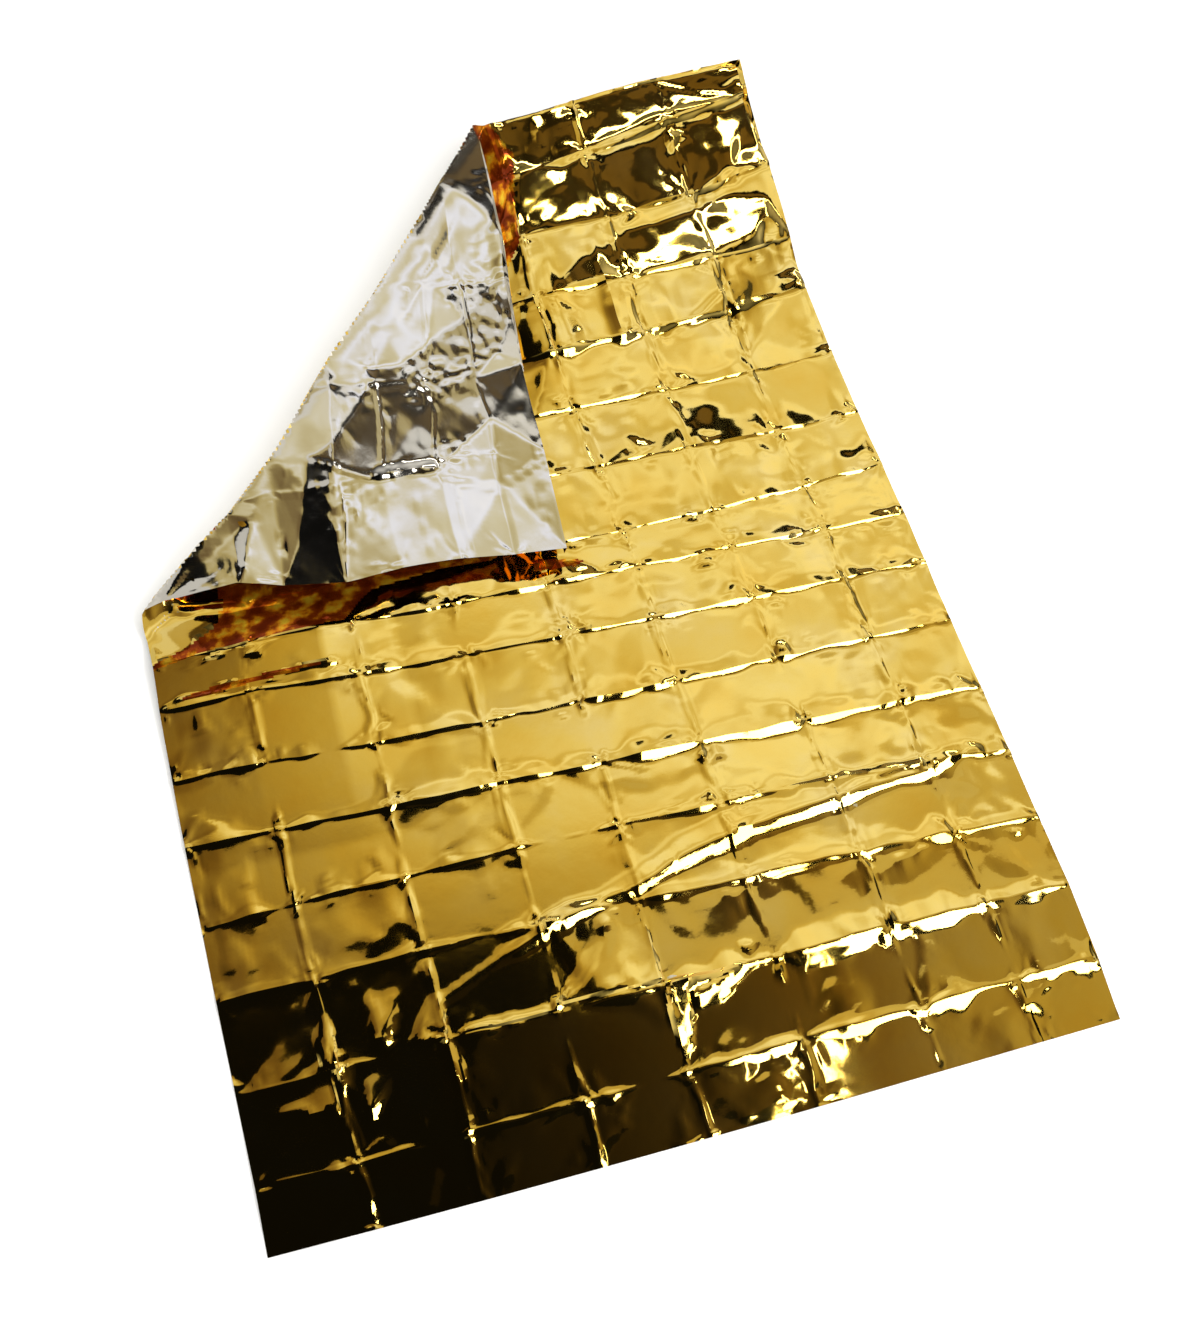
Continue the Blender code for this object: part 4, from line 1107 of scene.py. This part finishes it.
# ------------------------------------------------------- floor, lights, camera
floor_mesh = bpy.data.meshes.new("floor")
floor_mesh.from_pydata([(-9, -9, -0.0004), (9, -9, -0.0004), (9, 9, -0.0004), (-9, 9, -0.0004)], [], [(0, 1, 2, 3)])
floor = bpy.data.objects.new("floor", floor_mesh)
bpy.context.scene.collection.objects.link(floor)
paper = Nodes("floor_paper")
paper.shader.inputs["Base Color"].default_value = (0.90, 0.90, 0.89, 1)
paper.shader.inputs["Roughness"].default_value = 0.9
paper.shader.inputs["Specular IOR Level"].default_value = 0.1
floor_mesh.materials.append(paper.material)


def softbox(name, corner_low, corner_high, height, radiance, along_x=None, along_y=None, far_along_x=None, blend=None):
    """A flat light facing down, given by two opposite corners.

    along_x and along_y, as (share, brightness), make it uneven: its dim parts are warmer, as a pale ceiling is.
    """
    (x0, y0), (x1, y1) = corner_low, corner_high
    light = bpy.data.lights.new(name, "AREA")
    light.shape = "RECTANGLE"
    light.size, light.size_y = x1 - x0, y1 - y0
    light.energy = radiance * math.pi * (x1 - x0) * (y1 - y0)  # watts for that radiance
    lamp = bpy.data.objects.new(name, light)
    lamp.location = ((x0 + x1) / 2, (y0 + y1) / 2, height)
    lamp.visible_camera = False
    bpy.context.scene.collection.objects.link(lamp)
    if along_x or along_y:
        light.use_nodes = True
        tree = light.node_tree
        emission = next(n for n in tree.nodes if n.type == "EMISSION")
        where = tree.nodes.new("ShaderNodeNewGeometry")
        split = tree.nodes.new("ShaderNodeSeparateXYZ")
        tree.links.new(where.outputs["Parametric"], split.inputs[0])

        def curve(axis, stops):
            node = tree.nodes.new("ShaderNodeFloatCurve")
            line = node.mapping.curves[0]
            for number, (share, level) in enumerate((stops[0], stops[-1], *stops[1:-1])):
                if number < 2:
                    line.points[number].location = (share, level)
                else:
                    line.points.new(share, level)
            for point in line.points:
                point.handle_type = "AUTO"
            node.mapping.update()
            tree.links.new(split.outputs[axis], node.inputs["Value"])
            return node.outputs["Value"]

        def combine(operation, *values):
            node = tree.nodes.new("ShaderNodeMath")
            node.operation = operation
            for number, value in enumerate(values):
                tree.links.new(value, node.inputs[number])
            return node.outputs[0]

        level_x = curve("X", along_x)
        if far_along_x:
            blended = tree.nodes.new("ShaderNodeMix")
            tree.links.new(curve("Y", ((0.0, 0.0), (blend[0], 0.0), (blend[1], 1.0), (1.0, 1.0))), blended.inputs["Factor"])
            tree.links.new(level_x, blended.inputs["A"])
            tree.links.new(curve("X", far_along_x), blended.inputs["B"])
            level_x = blended.outputs["Result"]
        product = combine("MULTIPLY", level_x, curve("Y", along_y))
        tint = tree.nodes.new("ShaderNodeValToRGB")
        tint.color_ramp.elements[0].position, tint.color_ramp.elements[0].color = 0.0, (0, 0, 0, 1)
        tint.color_ramp.elements[1].position, tint.color_ramp.elements[1].color = 1.0, (1, 1, 1, 1)
        for level, green, blue in ((0.15, 0.66, 0.26), (0.45, 0.82, 0.34), (0.65, 0.93, 0.66), (0.85, 1.05, 1.26)):
            tint.color_ramp.elements.new(level).color = (level, level * green, level * blue, 1)
        tree.links.new(product, tint.inputs["Fac"])
        tree.links.new(tint.outputs["Color"], emission.inputs["Color"])
    return lamp


softbox(
    "main_softbox", (-0.95, 0.0), (4.40, 2.40), 3.0, 1.09,
    along_x=((0.0, 0.14), (0.065, 0.19), (0.14, 0.32), (0.207, 0.47), (0.27, 0.60), (0.348, 0.72), (0.42, 0.80), (0.52, 0.88), (0.66, 0.78), (0.79, 0.86), (0.88, 0.60), (1.0, 0.40)),
    along_y=((0.0, 0.62), (0.06, 0.70), (0.14, 0.96), (0.20, 1.0), (0.38, 0.84), (0.56, 1.02), (0.76, 0.80), (0.92, 0.98), (1.0, 0.92)),
    far_along_x=((0.0, 0.45), (0.065, 0.60), (0.22, 0.72), (0.35, 0.84), (0.50, 0.76), (0.66, 0.90), (0.80, 0.84), (0.88, 0.60), (1.0, 0.40)),
    blend=(0.45, 0.60),
)
softbox("far_softbox", (-0.6, 2.4), (1.30, 2.75), 3.0, 0.72)
softbox("gap_softbox", (-0.6, 2.75), (3.8, 3.95), 3.0, 1.0, along_x=((0.0, 0.46), (0.355, 0.46), (0.395, 0.06), (0.50, 0.10), (1.0, 0.13)), along_y=((0.0, 1.0), (0.38, 1.0), (0.45, 0.25), (1.0, 0.22)))
softbox("left_softbox", (-4.0, 2.1), (-0.6, 6.0), 3.0, 0.62)
softbox("low_softbox", (0.75, -0.30), (3.6, 0.0), 3.0, 1.0, along_x=((0.0, 0.50), (0.1, 0.54), (1.0, 0.55)), along_y=((0.0, 0.95), (1.0, 1.0)))
softbox(
    "dim_softbox", (0.3, -0.95), (3.6, -0.30), 3.0, 1.0,
    along_x=((0.0, 0.006), (0.2, 0.03), (0.36, 0.09), (0.48, 0.20), (0.60, 0.36), (1.0, 0.46)), along_y=((0.0, 1.0), (1.0, 0.9)),
)
softbox("near_softbox", (1.2, -3.4), (3.4, -1.15), 3.0, 7.5)
softbox("spark_softbox", (1.46, -1.10), (1.55, -0.74), 2.99, 8.0)
softbox("side_strip", (4.0, 2.6), (4.35, 4.4), 3.0, 6.0)
softbox("far_strip", (1.6, 3.95), (3.8, 4.5), 3.0, 9.0)
floor_fill = softbox("floor_fill", (-10.0, -10.0), (10.0, 10.0), 4.6, 1.06)
floor_fill.visible_glossy = False  # it whitens the floor and isn't mirrored in the film

world = bpy.data.worlds.new("studio")
world.use_nodes = True
bpy.context.scene.world = world
tree = world.node_tree
back = tree.nodes["Background"]
where = tree.nodes.new("ShaderNodeTexCoord")
split = tree.nodes.new("ShaderNodeSeparateXYZ")
tree.links.new(where.outputs["Generated"], split.inputs[0])
fade = tree.nodes.new("ShaderNodeValToRGB")
fade.color_ramp.elements[0].position, fade.color_ramp.elements[0].color = 0.0, (0.93, 0.93, 0.92, 1)
fade.color_ramp.elements[1].position, fade.color_ramp.elements[1].color = 0.62, (0.004, 0.004, 0.004, 1)
mid = fade.color_ramp.elements.new(0.22)
mid.color = (0.80, 0.80, 0.80, 1)
mid = fade.color_ramp.elements.new(0.45)
mid.color = (0.25, 0.25, 0.25, 1)
tree.links.new(split.outputs["Z"], fade.inputs["Fac"])
tree.links.new(fade.outputs["Color"], back.inputs["Color"])

lens = bpy.data.cameras.new("camera")
lens.sensor_fit, lens.sensor_width, lens.lens = "HORIZONTAL", 36.0, 57.0
lens.clip_start, lens.clip_end = 0.05, 100.0
camera = bpy.data.objects.new("camera", lens)
turn = TO_LENS.transposed() @ Matrix.Diagonal((1.0, -1.0, -1.0))
camera.matrix_world = Matrix.Translation(EYE) @ turn.to_4x4()
bpy.context.scene.collection.objects.link(camera)
scene = bpy.context.scene
scene.camera = camera
scene.view_settings.view_transform = "Standard"
scene.view_settings.look = "None"
